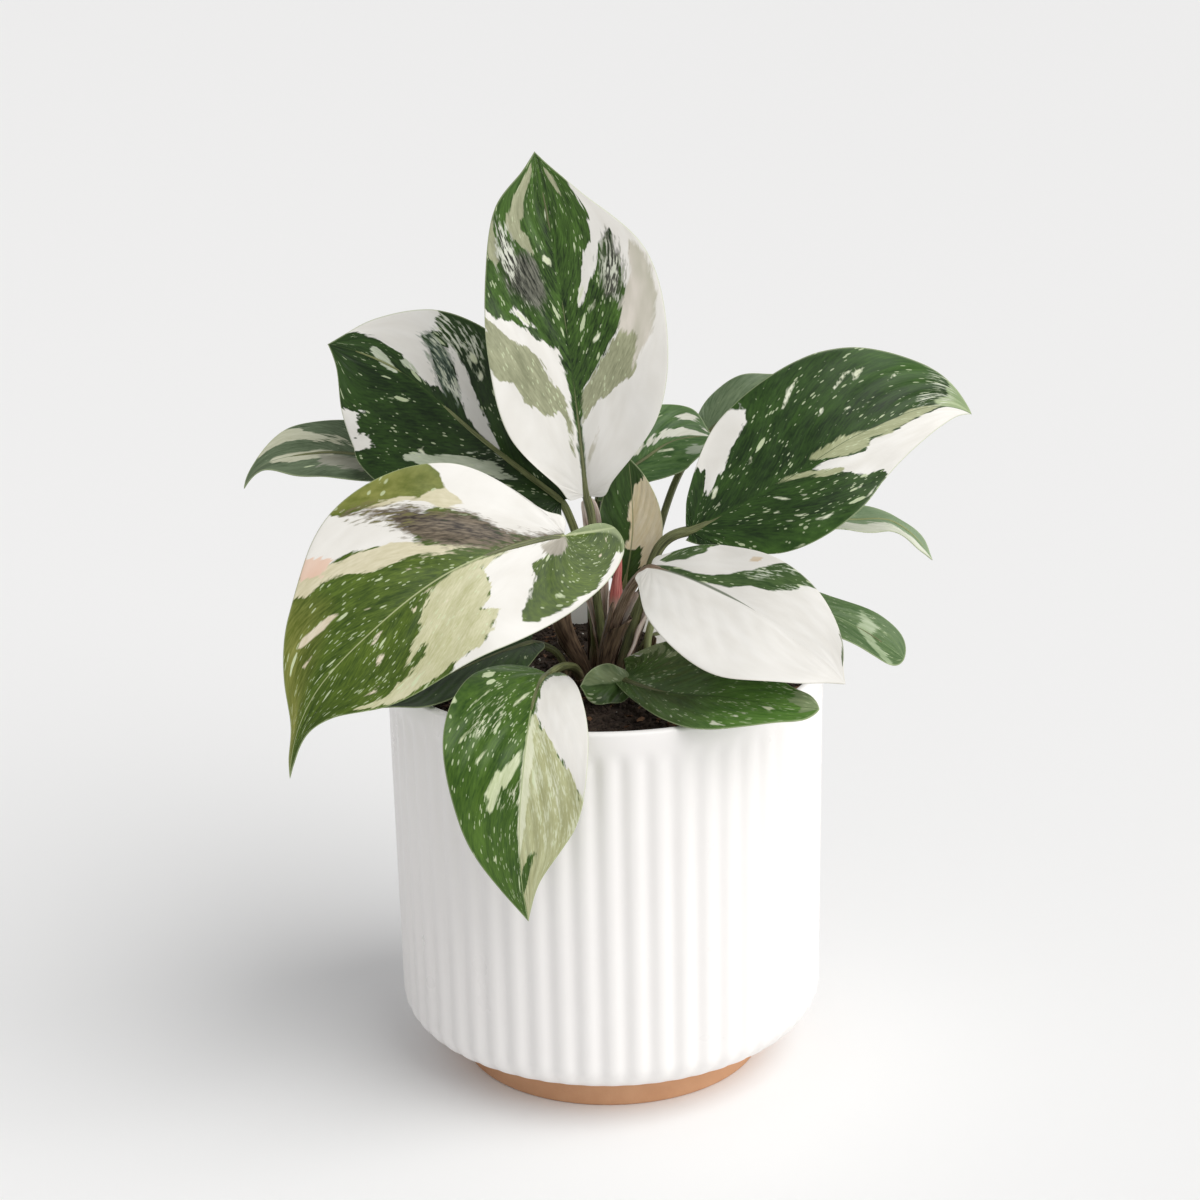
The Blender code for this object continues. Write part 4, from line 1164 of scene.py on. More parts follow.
def grow(name, stands_for, slot, leaf, grid, seed, flecks=(0.6, 0.6), **own_tones):
    """One leaf as it grew, in its own colours."""
    tones = dict(TONES, **own_tones)
    shells = [blade(leaf, grid, seed), stalk(leaf, seed)]
    shells += [sheath(leaf, seed, *given) for given in leaf.get("sheaths", [])]
    if "near_lobe" in leaf:
        shells.append(blade(leaf["near_lobe"], SMALL, seed + 1))
    made = grown(name, shells, [leaf_skin(name + "_skin", tones, flecks), stalk_skin(name + "_stalk", tones)])
    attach(made, "root")
    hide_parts(stands_for)
    return made


# A leaf's sizes: `midrib` runs from seat to tip, `face` is the way its upper face looks at either end,
# `left` and `right` are half widths at the stations, `lobes` reach back behind the seat, and `fold` lifts
# each half at seat, middle and tip. `root`, `stalk` and `radius` draw the stalk. A sheath has its lower and
# upper height, turn, spread, flare and whether it is fresh. The rest are patches: polygons of (share of the
# length, share of the half width), left below nothing.
top_leaf = {
    "midrib": [(-5, 5, 192), (-8, 5, 228), (-12, 9, 261), (-19, 14, 303)],
    "face": [(0.1, -1, 0.15), (0.05, -1, 0.1)],
    "left": (9, 24, 27, 23.5, 16),
    "right": (9, 26, 32, 29, 11.5),
    "lobes": (0, 0),
    "fold": [(20, 12, 12), (20, 8, 8)],
    "root": (0, 3),
    "sheaths": [
        (128, 152, 200, 120, 1.2, False), (138, 167, 170, 110, 3.8, True), (160, 191, 180, 95, 2.2, True)
    ],
    "stalk": [(-1, 3, 147), (-3, 3, 166), (-3, 5, 182)],
    "radius": 1.6,
    "rib_end": 0.6,
    "rib_sink": 0.3,
    "rib_width": 0.9,
    "ragged": 0.8,
    "white": [
        [(0, -0.03), (0.35, -0.04), (0.5, -0.07), (0.55, -0.14), (0.56, -0.35), (0.58, -0.6),
         (0.57, -0.85), (0.6, -1.1), (0, -1.1)],
        [(0, 0.03), (0.38, 0.03), (0.46, 0.1), (0.5, 0.32), (0.56, 0.58), (0.6, 0.65), (0.7, 0.72),
         (0.75, 0.83), (0.74, 0.7), (0.7, 0.5), (0.64, 0.14), (0.7, 0.27), (0.745, 0.42), (0.75, 0.58),
         (0.82, 0.8), (0.88, 0.91), (0.94, 1.1), (0, 1.1)],
        [(0.58, -0.42), (0.6, -0.7), (0.615, -0.66), (0.59, -0.42)],
    ],
    "sage": [
        [(0.28, -0.1), (0.4, -0.19), (0.37, -0.35), (0.385, -0.6), (0.42, -0.72), (0.41, -0.93),
         (0.45, -1.1), (0.56, -1.0), (0.54, -0.75), (0.515, -0.42), (0.46, -0.26), (0.44, -0.14),
         (0.36, -0.08)],
        [(0.76, -0.34), (0.77, -0.55), (0.8, -0.76), (0.88, -0.8), (0.97, -0.75), (0.96, -0.5),
         (0.88, -0.56), (0.84, -0.5), (0.81, -0.55), (0.8, -0.4)],
        [(0.7, -0.85), (0.71, -0.97), (0.8, -1.1), (0.8, -0.97), (0.75, -0.87)],
        [(0.88, 0.55), (0.95, 0.45), (0.96, 0.6), (0.93, 0.75), (0.9, 0.62)],
        [(0.37, 0.04), (0.44, 0.05), (0.48, 0.22), (0.53, 0.48), (0.55, 0.56), (0.53, 0.7), (0.47, 0.72),
         (0.42, 0.6), (0.42, 0.36), (0.4, 0.18)],
    ],
    "mist": [
        [(0.44, 0.62), (0.5, 0.7), (0.54, 0.5), (0.6, 0.63), (0.67, 0.84), (0.69, 0.94), (0.64, 0.97),
         (0.56, 0.95), (0.48, 0.83)],
        [(0.25, 0.05), (0.3, 0.1), (0.345, 0.22), (0.3, 0.14)],
    ],
    # These dusk-and-sheen patches are a painted sheen: silvery streaks of reflected light on dark green.
    "dusk": [
        [(0.63, -0.35), (0.65, -0.55), (0.66, -0.7), (0.7, -0.8), (0.8, -0.92), (0.78, -0.72),
         (0.75, -0.6), (0.76, -0.42), (0.74, -0.3), (0.68, -0.22)],
        [(0.6, 0.58), (0.63, 0.46), (0.68, 0.5), (0.72, 0.62), (0.75, 0.8), (0.68, 0.77)],
    ],
    "mottle": [
        [(0.63, -0.42), (0.65, -0.62), (0.7, -0.82), (0.81, -0.94), (0.8, -0.78), (0.76, -0.62),
         (0.7, -0.55)],
        [(0.6, 0.58), (0.63, 0.5), (0.68, 0.5), (0.72, 0.62), (0.75, 0.8), (0.68, 0.77)],
    ],
    "chip": [
        [(0.745, -0.07), (0.755, -0.21), (0.77, -0.2), (0.765, -0.08)],
        [(0.582, -0.43), (0.6, -0.62), (0.612, -0.67), (0.594, -0.46)],
        [(0.545, -0.1), (0.57, -0.18), (0.56, -0.13)],
        [(0.842, -0.06), (0.87, -0.05), (0.885, 0.0), (0.86, -0.03)],
        [(0.612, 0.25), (0.625, 0.27), (0.636, 0.35), (0.62, 0.32)],
        [(0.545, 0.24), (0.556, 0.25), (0.56, 0.34), (0.548, 0.32)],
        [(0.645, 0.15), (0.66, 0.18), (0.685, 0.28), (0.665, 0.25)],
    ],
}
grow(
    "top_leaf", "leaf_top", "mixed_leaf", top_leaf, LARGE, 1, (0.7, 0.9),
    green=("#12240A", "#4C6D2B"), sage=("#84876A", "#A9AB8C"), dusk=("#1E221A", "#77786B"),
    mist=("#B4B2A0", "#D8D1C6"), rib="#33491F",
)

# Upper left leaf: a broad dark green leaf that leans back to the left, with a white patch on its upper
# margin and grey-green streaks beside it. Its stalk stands in the soil behind the front left leaf's.
upper_left_leaf = {
    "midrib": [(-13, 8, 190), (-40, 17, 210), (-66, 25, 231), (-89, 26, 240)],
    "face": [(-0.2, -1, 0.55), (-0.35, -1, 0.3)],
    "left": (18, 29, 33, 32, 21),
    "right": (14, 26, 30, 26, 12.5),
    "lobes": (5, 5),
    "fold": [(10, 6, 0), (15, 10, 0)],
    "root": (-4, 9),
    "sheaths": [(126, 150, 160, 110, 1.4, False)],
    "stalk": [(-3, 9, 142), (-5, 9, 161), (-8, 9, 176)],
    "radius": 1.6,
    "white": [
        [(0.63, -0.78), (0.65, -0.92), (0.72, -1.1), (0.84, -1.1), (0.8, -0.88), (0.76, -0.72),
         (0.77, -0.85), (0.71, -0.9), (0.7, -0.82)],
        [(0.42, 0.01), (0.5, 0.03), (0.57, 0.1), (0.6, 0.18), (0.63, 0.3), (0.66, 0.48), (0.7, 0.64),
         (0.66, 0.64), (0.6, 0.45), (0.53, 0.24), (0.46, 0.09)],
        [(0.67, 0.13), (0.7, 0.09), (0.78, 0.14), (0.8, 0.3), (0.84, 0.38), (0.87, 0.55), (0.9, 0.72),
         (0.95, 1.1), (0.7, 1.1), (0.71, 0.8), (0.74, 0.68), (0.71, 0.38)],
    ],
    "sage": [
        [(0.33, -0.09), (0.4, -0.28), (0.46, -0.42), (0.52, -0.6), (0.55, -0.68), (0.565, -0.6),
         (0.53, -0.45), (0.51, -0.33), (0.48, -0.2), (0.42, -0.11)],
        [(0.79, -0.07), (0.85, -0.05), (0.87, 0.05), (0.885, 0.25), (0.87, 0.33), (0.84, 0.15), (0.81, 0.02)],
        [(0.74, 0.1), (0.79, 0.14), (0.8, 0.32), (0.78, 0.24)],
    ],
    "dusk": [[(0.6, 0.15), (0.68, 0.2), (0.7, 0.3), (0.74, 0.65), (0.72, 0.72), (0.66, 0.5), (0.62, 0.32)]],
    "mottle": [
        [(0.6, 0.15), (0.68, 0.2), (0.7, 0.3), (0.74, 0.65), (0.72, 0.72), (0.66, 0.5), (0.62, 0.32)],
        [(0.4, -0.03), (0.46, -0.02), (0.47, -0.15), (0.44, -0.22), (0.42, -0.12)],
        [(0.56, 0.55), (0.62, 0.55), (0.7, 0.75), (0.7, 1.0), (0.6, 0.9)],
    ],
    "chip": [
        [(0.585, 0.62), (0.61, 0.62), (0.618, 0.7), (0.595, 0.7)],
        [(0.555, 0.5), (0.57, 0.49), (0.575, 0.58), (0.56, 0.57)],
        [(0.54, -0.48), (0.56, -0.5), (0.56, -0.44)],
    ],
}
grow(
    "upper_left_leaf", "leaf_upper_left", "green_leaf", upper_left_leaf, LARGE, 2, (0.6, 0.75),
    green=("#13260A", "#304B1B"), sage=("#A9B49A", "#C6CDB8"), stalk=("#5A6036", "#8E9562"),
    dusk=("#2A3A2C", "#6E7D70"), rib="#3B4C24",
)

# Front left leaf: the broadest leaf, which hangs over the rim at the left. It is white with beige, sage and
# grey-brown patches near its seat and green towards the tip. One broad lobe reaches back past its stalk.
front_left_leaf = {
    "midrib": [(-12, -16, 185), (-46, -30, 179), (-71, -42, 164), (-92, -52, 143), (-99, -58, 120)],
    "face": [(0.1, -1, 0.5), (-0.45, -1, 0.25)],
    "left": (26, 30, 28, 21, 4),
    "right": (9, 32, 37, 22, 3),
    "lobes": (19, 1),
    "lobe_outlines": (
        [(-6, -1.8), (-10, -2.5), (-14, -2.2), (-17.5, 0), (-19, 4.5), (-18, 8.5), (-15, 12.8), (-9, 18.4)],
        [(-1, 3.2), (-0.5, 6.1)],
    ),
    "fold": [(14, 6, 6), (6, 3, 4)],
    "root": (-6, -2),
    "sheaths": [(126, 160, 20, 140, 2.2, False), (126, 148, 190, 110, 2.0, False)],
    "stalk": [(-14, -8, 153), (-15, -13, 170), (-13, -16, 180)],
    "radius": 1.7,
    "rib_sink": 0.5,
    "ragged": 0.75,
    "white": [
        [(0.18, -0.02), (0.22, -0.15), (0.25, -0.26), (0.29, -0.27), (0.3, -0.4), (0.34, -0.6),
         (0.395, -0.82), (0.36, -0.92), (0.2, -0.93), (0.13, -0.88), (0.1, -1.1), (0.63, -1.1),
         (0.58, -0.9), (0.5, -0.85), (0.43, -0.62), (0.46, -0.5), (0.42, -0.42), (0.4, -0.25), (0.4, -0.1),
         (0.32, -0.02)],
        [(0.0, 0.04), (0.25, 0.03), (0.3, 0.15), (0.34, 0.42), (0.37, 0.5), (0.35, 0.6), (0.35, 0.75),
         (0.33, 0.8), (0.33, 1.1), (0, 1.1)],
        [(0.44, 0.33), (0.48, 0.42), (0.53, 0.65), (0.58, 0.8), (0.61, 1.1), (0.46, 1.1), (0.45, 0.6)],
        [(0.36, 0.55), (0.45, 0.5), (0.47, 0.95), (0.44, 1.1), (0.34, 0.9)],
    ],
    "sage": [
        [(0.31, -0.03), (0.4, -0.12), (0.405, -0.3), (0.42, -0.42), (0.46, -0.52), (0.42, -0.62),
         (0.46, -0.75), (0.5, -0.85), (0.6, -0.93), (0.7, -0.99), (0.8, -0.92), (0.72, -0.82),
         (0.68, -0.72), (0.65, -0.55), (0.6, -0.38), (0.56, -0.2), (0.52, -0.06), (0.45, -0.01)],
    ],
    "cream": [
        [(0.36, 0.06), (0.42, 0.13), (0.48, 0.24), (0.53, 0.38), (0.57, 0.5), (0.58, 0.62), (0.61, 0.76),
         (0.65, 0.88), (0.66, 1.1), (0.62, 0.98), (0.585, 0.86), (0.54, 0.68), (0.5, 0.52), (0.46, 0.35),
         (0.42, 0.2)],
        [(0.33, 0.5), (0.37, 0.5), (0.385, 0.62), (0.4, 0.7), (0.44, 0.74), (0.45, 0.9), (0.46, 1.1),
         (0.33, 0.75)],
        [(0.5, -0.02), (0.53, -0.06), (0.575, -0.13), (0.56, -0.1), (0.53, -0.03)],
    ],
    "green": [
        [(0.6, -0.5), (0.62, -0.65), (0.66, -0.72), (0.69, -0.77), (0.69, -0.7), (0.65, -0.6)],
        [(0.31, 0.85), (0.33, 0.7), (0.36, 0.76), (0.38, 0.69), (0.4, 0.79), (0.45, 0.84), (0.48, 0.95),
         (0.49, 1.1), (0.31, 1.1)],
    ],
    "fresh_green": [
        [(0.3, 1.2), (0.3, 0.6), (0.45, 0.6), (0.5, 1.2)],
        [(0.66, 0.7), (0.8, 0.5), (0.9, 0.3), (1, 0), (1, 1.2), (0.66, 1.2)],
    ],
    "dusk": [
        [(0.16, 0.0), (0.25, 0.0), (0.33, 0.03), (0.38, 0.09), (0.42, 0.2), (0.455, 0.33), (0.455, 0.5),
         (0.45, 0.66), (0.47, 0.9), (0.44, 0.8), (0.4, 0.62), (0.38, 0.5), (0.345, 0.42), (0.325, 0.3),
         (0.3, 0.14), (0.25, 0.07), (0.18, 0.05)],
    ],
    "mist": [[(0.16, -0.02), (0.24, -0.08), (0.25, -0.2), (0.22, -0.32), (0.18, -0.22)]],
    "mottle": [
        [(0.38, 0.5), (0.39, 0.66), (0.42, 0.74), (0.43, 0.86), (0.47, 0.98), (0.48, 0.9), (0.46, 0.6),
         (0.45, 0.5)],
    ],
    "chip": [
        [(0.655, 0.44), (0.68, 0.5), (0.7, 0.52), (0.735, 0.66), (0.75, 0.78), (0.73, 0.77), (0.715, 0.7),
         (0.7, 0.64), (0.67, 0.55)],
        [(0.75, 0.5), (0.785, 0.57), (0.78, 0.61)],
        [(0.62, 0.2), (0.635, 0.24), (0.63, 0.28)],
        [(0.64, -0.06), (0.66, -0.12), (0.695, -0.17), (0.67, -0.08)],
        [(0.675, -0.32), (0.695, -0.4), (0.705, -0.38), (0.69, -0.31)],
        [(0.72, -0.63), (0.74, -0.66), (0.765, -0.71), (0.74, -0.71)],
        [(0.13, -0.66), (0.155, -0.68), (0.15, -0.72)],
        [(0.08, -0.72), (0.12, -0.78), (0.105, -0.74)],
        [(0.49, -0.24), (0.51, -0.28), (0.525, -0.27)],
        [(0.49, 0.14), (0.53, 0.25), (0.51, 0.22)],
    ],
    "blush": [[(0.55, 0.76), (0.6, 0.82), (0.62, 1.1), (0.585, 1.1)]],
}
grow(
    "front_left_leaf", "leaf_front_left", "mixed_leaf", front_left_leaf, LARGE, 3, (0.75, 1.0),
    green=("#2E430F", "#5B7025"), fresh_green=("#5A6420", "#8A8C4A"), sage=("#B4B488", "#CFCCAB"),
    chip=("#CBBFA4", "#E0D7C3"), mist=("#8F897C", "#B9B3A6"), dusk=("#2B231D", "#7D715F"),
    mottle=("#5A5A30", "#7A7548"), cream=("#C4BD9C", "#D8D1B6"), rib="#B4BA8C",
)

# Front leaf: it bends over the rim and hangs down in front of the pot, green on one half, white and sage on
# the other. Its short stalk leans forward out of the soil.
front_leaf = {
    "midrib": [(-18, -37, 146), (-22, -62, 147), (-25, -84, 134), (-27, -90, 110), (-25, -87, 83)],
    "face": [(0, -0.25, 1), (0, -1, 0.5), (0, -1, 0.1)],
    "left": (5, 14, 19, 17, 5),
    "right": (13, 21, 25, 18, 7),
    "lobes": (1, 6),
    "fold": [(10, 5, 5), (10, 5, 5)],
    "root": (-8, -9),
    "sheaths": [(126, 137, 200, 120, 1.0, False)],
    "stalk": [(-9, -13, 138), (-13, -25, 144)],
    "radius": 1.6,
    "rib_sink": 0.5,
    "white": [
        [(0.1, -1.1), (0.2, -0.4), (0.22, -0.2), (0.28, -0.1), (0.46, -0.06), (0.5, -0.2), (0.54, -0.5),
         (0.57, -0.8), (0.6, -1.1)],
    ],
    "sage": [
        [(0.46, -0.08), (0.5, -0.2), (0.54, -0.5), (0.565, -0.8), (0.6, -1.1), (1.02, -1.1), (1.0, -0.3),
         (0.92, -0.03), (0.8, -0.02), (0.5, -0.03)],
    ],
    "cream": [
        [(0.46, -0.03), (0.52, -0.1), (0.7, -0.15), (0.78, -0.12), (0.84, 0.02), (0.8, 0.03), (0.6, 0.02)],
    ],
    "green": [
        [(0.8, -0.42), (0.8, -0.5), (0.86, -0.48), (0.9, -0.3), (0.93, -0.02), (0.89, 0.0), (0.87, -0.05),
         (0.85, -0.15), (0.83, -0.3)],
    ],
    "mottle": [
        [(0.5, -0.2), (0.6, -0.2), (0.72, -0.3), (0.8, -0.6), (0.7, -1.0), (0.58, -1.0), (0.55, -0.6)],
        [(0.4, 0.42), (0.47, 0.36), (0.52, 0.5), (0.5, 0.66), (0.43, 0.6)],
        [(0.66, 0.06), (0.7, 0.08), (0.71, 0.3), (0.68, 0.35)],
    ],
    "chip": [
        [(0.575, 0.04), (0.61, 0.06), (0.645, 0.18), (0.66, 0.26), (0.65, 0.3), (0.69, 0.42), (0.705, 0.5),
         (0.69, 0.57), (0.67, 0.5), (0.655, 0.56), (0.63, 0.44), (0.61, 0.36), (0.62, 0.3), (0.6, 0.2)],
        [(0.37, 0.05), (0.4, 0.1), (0.445, 0.23), (0.425, 0.23), (0.4, 0.17)],
        [(0.36, 0.58), (0.38, 0.6), (0.415, 0.73), (0.4, 0.7)],
        [(0.335, 0.38), (0.35, 0.4), (0.365, 0.5)],
        [(0.55, 0.49), (0.565, 0.53), (0.578, 0.63), (0.565, 0.6)],
        [(0.482, 0.69), (0.495, 0.7), (0.512, 0.8), (0.5, 0.78)],
        [(0.8, 0.61), (0.812, 0.66), (0.805, 0.72)],
        [(0.79, 0.78), (0.806, 0.8), (0.795, 0.85)],
        [(0.27, 0.72), (0.29, 0.75), (0.28, 0.78)],
    ],
}
grow(
    "front_leaf", "leaf_front", "mixed_leaf", front_leaf, LARGE, 4, (0.8, 1.1),
    green=("#28450F", "#4F6E24"), sage=("#A3A478", "#C2C59C"), chip=("#B4BF92", "#D5DBBB"),
    mottle=("#C3C9A6", "#DEE0C8"), cream=("#CED2B0", "#DFE1C6"), rib="#9FAB7C",
)

# Right leaf: a large dark green leaf that rises to the right, with a white notch near its seat, a white
# lower tip and many pale dashes. Brown and fresh sheaths wrap its long stalk.
right_leaf = {
    "midrib": [(29, 0, 181), (58, 1, 196), (83, 7, 210), (109, 16, 217), (123, 21, 213)],
    "face": [(-0.2, -1, 0.35), (0.15, -1, 0.45)],
    "left": (11, 27, 31, 27, 12),
    "right": (8, 21, 22, 14, 7),
    "lobes": (6, 2),
    "lobe_outlines": ([(-1, 2), (1, 6)], [(-3, 2), (0, 5)]),
    "fold": [(14, 8, 6), (14, 10, 10)],
    "root": (5, -1),
    "sheaths": [(126, 154, 180, 120, 1.6, False), (134, 164, 150, 110, 3.4, True)],
    "stalk": [(9, 0, 147), (14, 2, 163), (20, 2, 177)],
    "radius": 2.0,
    "ragged": 0.85,
    "white": [
        [(0.13, -1.1), (0.2, -0.78), (0.225, -0.65), (0.23, -0.35), (0.25, -0.33), (0.27, -0.46),
         (0.29, -0.4), (0.32, -0.55), (0.37, -0.72), (0.4, -0.85), (0.38, -0.93), (0.25, -1.1)],
        [(0.54, 0.08), (0.58, 0.12), (0.62, 0.28), (0.66, 0.36), (0.7, 0.25), (0.75, 0.36), (0.88, 0.25),
         (0.93, 0.0), (1.02, 0.0), (1.02, 1.1), (0.62, 1.1), (0.635, 0.85), (0.6, 0.7), (0.58, 0.5),
         (0.56, 0.35)],
    ],
    "sage": [
        [(0.43, -0.05), (0.5, 0.0), (0.53, 0.08), (0.54, 0.2), (0.58, 0.35), (0.57, 0.45), (0.54, 0.35),
         (0.525, 0.15), (0.48, 0.03)],
        [(0.54, -0.08), (0.65, -0.07), (0.73, 0.02), (0.8, 0.02), (0.83, -0.05), (0.92, -0.06),
         (0.88, 0.2), (0.82, 0.3), (0.75, 0.35), (0.7, 0.22), (0.68, 0.33), (0.65, 0.35), (0.62, 0.25),
         (0.58, 0.05)],
    ],
    "mist": [[(0.9, -1.1), (0.915, -0.5), (0.89, -0.2), (0.91, -0.02), (1.02, 0.05), (1.02, -1.1)]],
    "rib_sink": 0.8,
    "rib_width": 0.12,
    "mottle": [
        [(0.84, -1.1), (0.87, -0.6), (0.85, -0.2), (0.86, -0.05), (0.93, -0.04), (0.93, -1.1)],
    ],
    "chip": [
        [(0.5, -0.62), (0.525, -0.69), (0.545, -0.82), (0.52, -0.78)],
        [(0.622, -0.56), (0.65, -0.66), (0.678, -0.77), (0.655, -0.74)],
        [(0.667, -0.6), (0.69, -0.66), (0.702, -0.77), (0.685, -0.74)],
        [(0.76, -0.58), (0.78, -0.66), (0.796, -0.76), (0.775, -0.7)],
        [(0.246, -0.24), (0.262, -0.36), (0.275, -0.33), (0.26, -0.25)],
        [(0.262, -0.12), (0.28, -0.17), (0.275, -0.12)],
        [(0.375, -0.35), (0.39, -0.4), (0.39, -0.35)],
        [(0.595, -0.4), (0.602, -0.48), (0.606, -0.42)],
        [(0.655, -0.31), (0.67, -0.37), (0.675, -0.34)],
        [(0.705, -0.31), (0.73, -0.37), (0.72, -0.33)],
        [(0.413, 0.13), (0.43, 0.2), (0.438, 0.28), (0.422, 0.24)],
        [(0.37, 0.31), (0.39, 0.33), (0.385, 0.39)],
        [(0.366, 0.49), (0.385, 0.58), (0.372, 0.54)],
        [(0.4, 0.52), (0.418, 0.6), (0.408, 0.58)],
        [(0.408, 0.72), (0.43, 0.76), (0.452, 0.8), (0.425, 0.79)],
        [(0.542, 0.76), (0.562, 0.78), (0.552, 0.8)],
        [(0.295, 0.95), (0.33, 0.96), (0.31, 0.98)],
        [(0.52, 0.93), (0.58, 0.95), (0.55, 0.965)],
        [(0.458, 0.3), (0.47, 0.34), (0.463, 0.35)],
    ],
    "fresh_green": [
        [(0.68, -1.2), (0.7, -0.7), (0.85, -0.5), (0.9, -1.2)],
        [(0.15, 0.9), (0.4, 0.85), (0.5, 1.2), (0.2, 1.2)],
    ],
}
grow(
    "right_leaf", "leaf_right", "green_leaf", right_leaf, LARGE, 5, (0.6, 0.9),
    green=("#182C0E", "#34511D"), fresh_green=("#2E4F18", "#4C6F2C"), sage=("#8F946D", "#B0B48F"),
    rib="#2C451B", mist=("#7C9165", "#ABB98F"),
)

# White right leaf: a nearly white leaf that reaches forward to the right, with one speckled green band. Its
# stalk carries brown papery sheaths and a fresh pale one.
white_right_leaf = {
    "midrib": [(15, -19, 175), (30, -37, 175), (47, -54, 170), (72, -76, 154)],
    "face": [(0.2, -1, 0.8), (0.45, -1, 0.6)],
    "left": (6, 15, 19, 18, 10),
    "right": (9, 20, 27, 26, 13),
    "lobes": (1, 2),
    "fold": [(8, 4, 4), (8, 4, 4)],
    "root": (-1, -5),
    "sheaths": [
        (126, 157, 170, 140, 2.2, False), (126, 160, 20, 80, 1.0, False), (136, 165, 215, 55, 1.4, True)
    ],
    "stalk": [(4, -9, 154), (11, -15, 170)],
    "radius": 2.0,
    "rib_end": 0.66,
    "rib_sink": 0.9,
    "rib_width": 1.0,
    "ragged": 0.45,
    "ribs": 0.08,
    "white": [[(-0.1, -1.2), (1.1, -1.2), (1.1, 1.2), (-0.1, 1.2)]],
    "green": [
        [(0.16, -0.05), (0.25, -0.12), (0.37, -0.12), (0.43, -0.21), (0.46, -0.35), (0.49, -0.6),
         (0.5, -0.9), (0.51, -1.1), (0.66, -1.1), (0.62, -0.9), (0.625, -0.65), (0.6, -0.42),
         (0.555, -0.33), (0.52, -0.14), (0.46, -0.06), (0.42, 0.0), (0.2, 0.0)],
        [(0.08, -1.1), (0.14, -0.28), (0.21, -0.2), (0.27, -0.36), (0.28, -0.66), (0.25, -0.85),
         (0.27, -1.1)],
        [(0.64, -1.1), (0.66, -1.02), (0.8, -1.0), (0.94, -0.9), (0.9, -1.1)],
    ],
    "mottle": [
        [(0.49, -0.5), (0.5, -1.1), (0.57, -1.1), (0.56, -0.8), (0.54, -0.5)],
        [(0.6, -0.5), (0.61, -0.9), (0.63, -0.9), (0.625, -0.6)],
        [(0.17, -0.6), (0.22, -0.5), (0.25, -0.7), (0.2, -0.85)],
    ],
    "blush": [[(0.42, -0.85), (0.44, -0.74), (0.46, -0.78), (0.45, -0.87)]],
}
grow(
    "white_right_leaf", "leaf_white_right", "cream_leaf", white_right_leaf, LARGE, 6, (0.8, 0.8),
    green=("#2F4622", "#526A3A"), mottle=("#B9C2A8", "#DCE0D2"), rib="#3F5230", margin="#D9D6C8",
    stalk=("#57432F", "#B09A86"), blush=("#C9B496", "#DDD2C2"),
)

# Low right leaf: a dark green leaf that lies low over the soil and the rim at the right. Its near lobe is
# small and lies left of the stalk, as a little blade of its own in the same piece.
low_right_leaf = {
    "midrib": [(6, -25, 139), (22, -50, 143), (36, -63, 146), (49, -72, 147), (64, -78, 147)],
    "face": [(0.05, -0.8, 1), (0.1, -0.6, 1)],
    "left": (22, 23, 21, 15, 7),
    "right": (4, 8, 14, 15, 8),
    "lobes": (13, 1),
    "fold": [(10, 8, 6), (10, 8, 6)],
    "root": (3, -10),
    "sheaths": [(126, 136, 180, 110, 1.2, False)],
    "stalk": [(4, -13, 137), (5, -19, 139)],
    "radius": 1.6,
    "tip": (0.962, 0.6),
    "rib_sink": 0.5,
    "white": [[(0.0, -1.1), (0.05, -0.84), (0.12, -0.88), (0.17, -1.1)]],
    "sage": [
        [(0.0, -1.1), (0.06, -0.9), (0.13, -0.72), (0.25, -0.64), (0.3, -0.66), (0.18, -0.76), (0.12, -1.1)],
        [(0.9, -1.1), (0.9, -0.3), (0.95, 0.0), (0.93, 0.5), (1.05, 0.5), (1.05, -1.1)],
    ],
    "fresh_green": [[(0.55, 1.2), (0.62, 0.2), (0.7, -0.6), (0.8, -1.2), (1.1, -1.2), (1.1, 1.2)]],
    "chip": [
        [(0.825, 0.19), (0.855, 0.15), (0.865, 0.3), (0.845, 0.38)],
        [(0.655, 0.74), (0.67, 0.84), (0.695, 0.92), (0.64, 0.88)],
        [(0.755, 0.46), (0.77, 0.5), (0.765, 0.56)],
        [(0.73, 0.58), (0.745, 0.62), (0.735, 0.68)],
        [(0.425, 0.72), (0.437, 0.78), (0.42, 0.8)],
        [(0.32, -0.06), (0.365, -0.03), (0.34, -0.04)],
        [(0.49, 0.75), (0.485, 0.82), (0.48, 0.8)],
    ],
    "near_lobe": {
        "midrib": [(8, -25, 138), (-1, -28, 138), (-8, -31, 139)],
        "face": [(0, -1, 0.5), (-0.2, -1, 0.4)],
        "left": (4, 6, 6, 6, 4),
        "right": (4, 6, 7, 6, 4),
        "lobes": (0, 0),
        "fold": [(6, 6, 6), (6, 6, 6)],
        "sage": [[(0, 0.1), (0.9, 0.1), (1, 1.2), (0, 1.2)]],
        "rib_width": 0.15,
    },
}
grow(
    "low_right_leaf", "leaf_low_right", "green_leaf", low_right_leaf, LARGE, 7, (0.45, 1.0),
    green=("#33491D", "#527036"), fresh_green=("#3F6424", "#658A40"), sage=("#6C7F58", "#8E9C72"),
    rib="#3C5228",
)

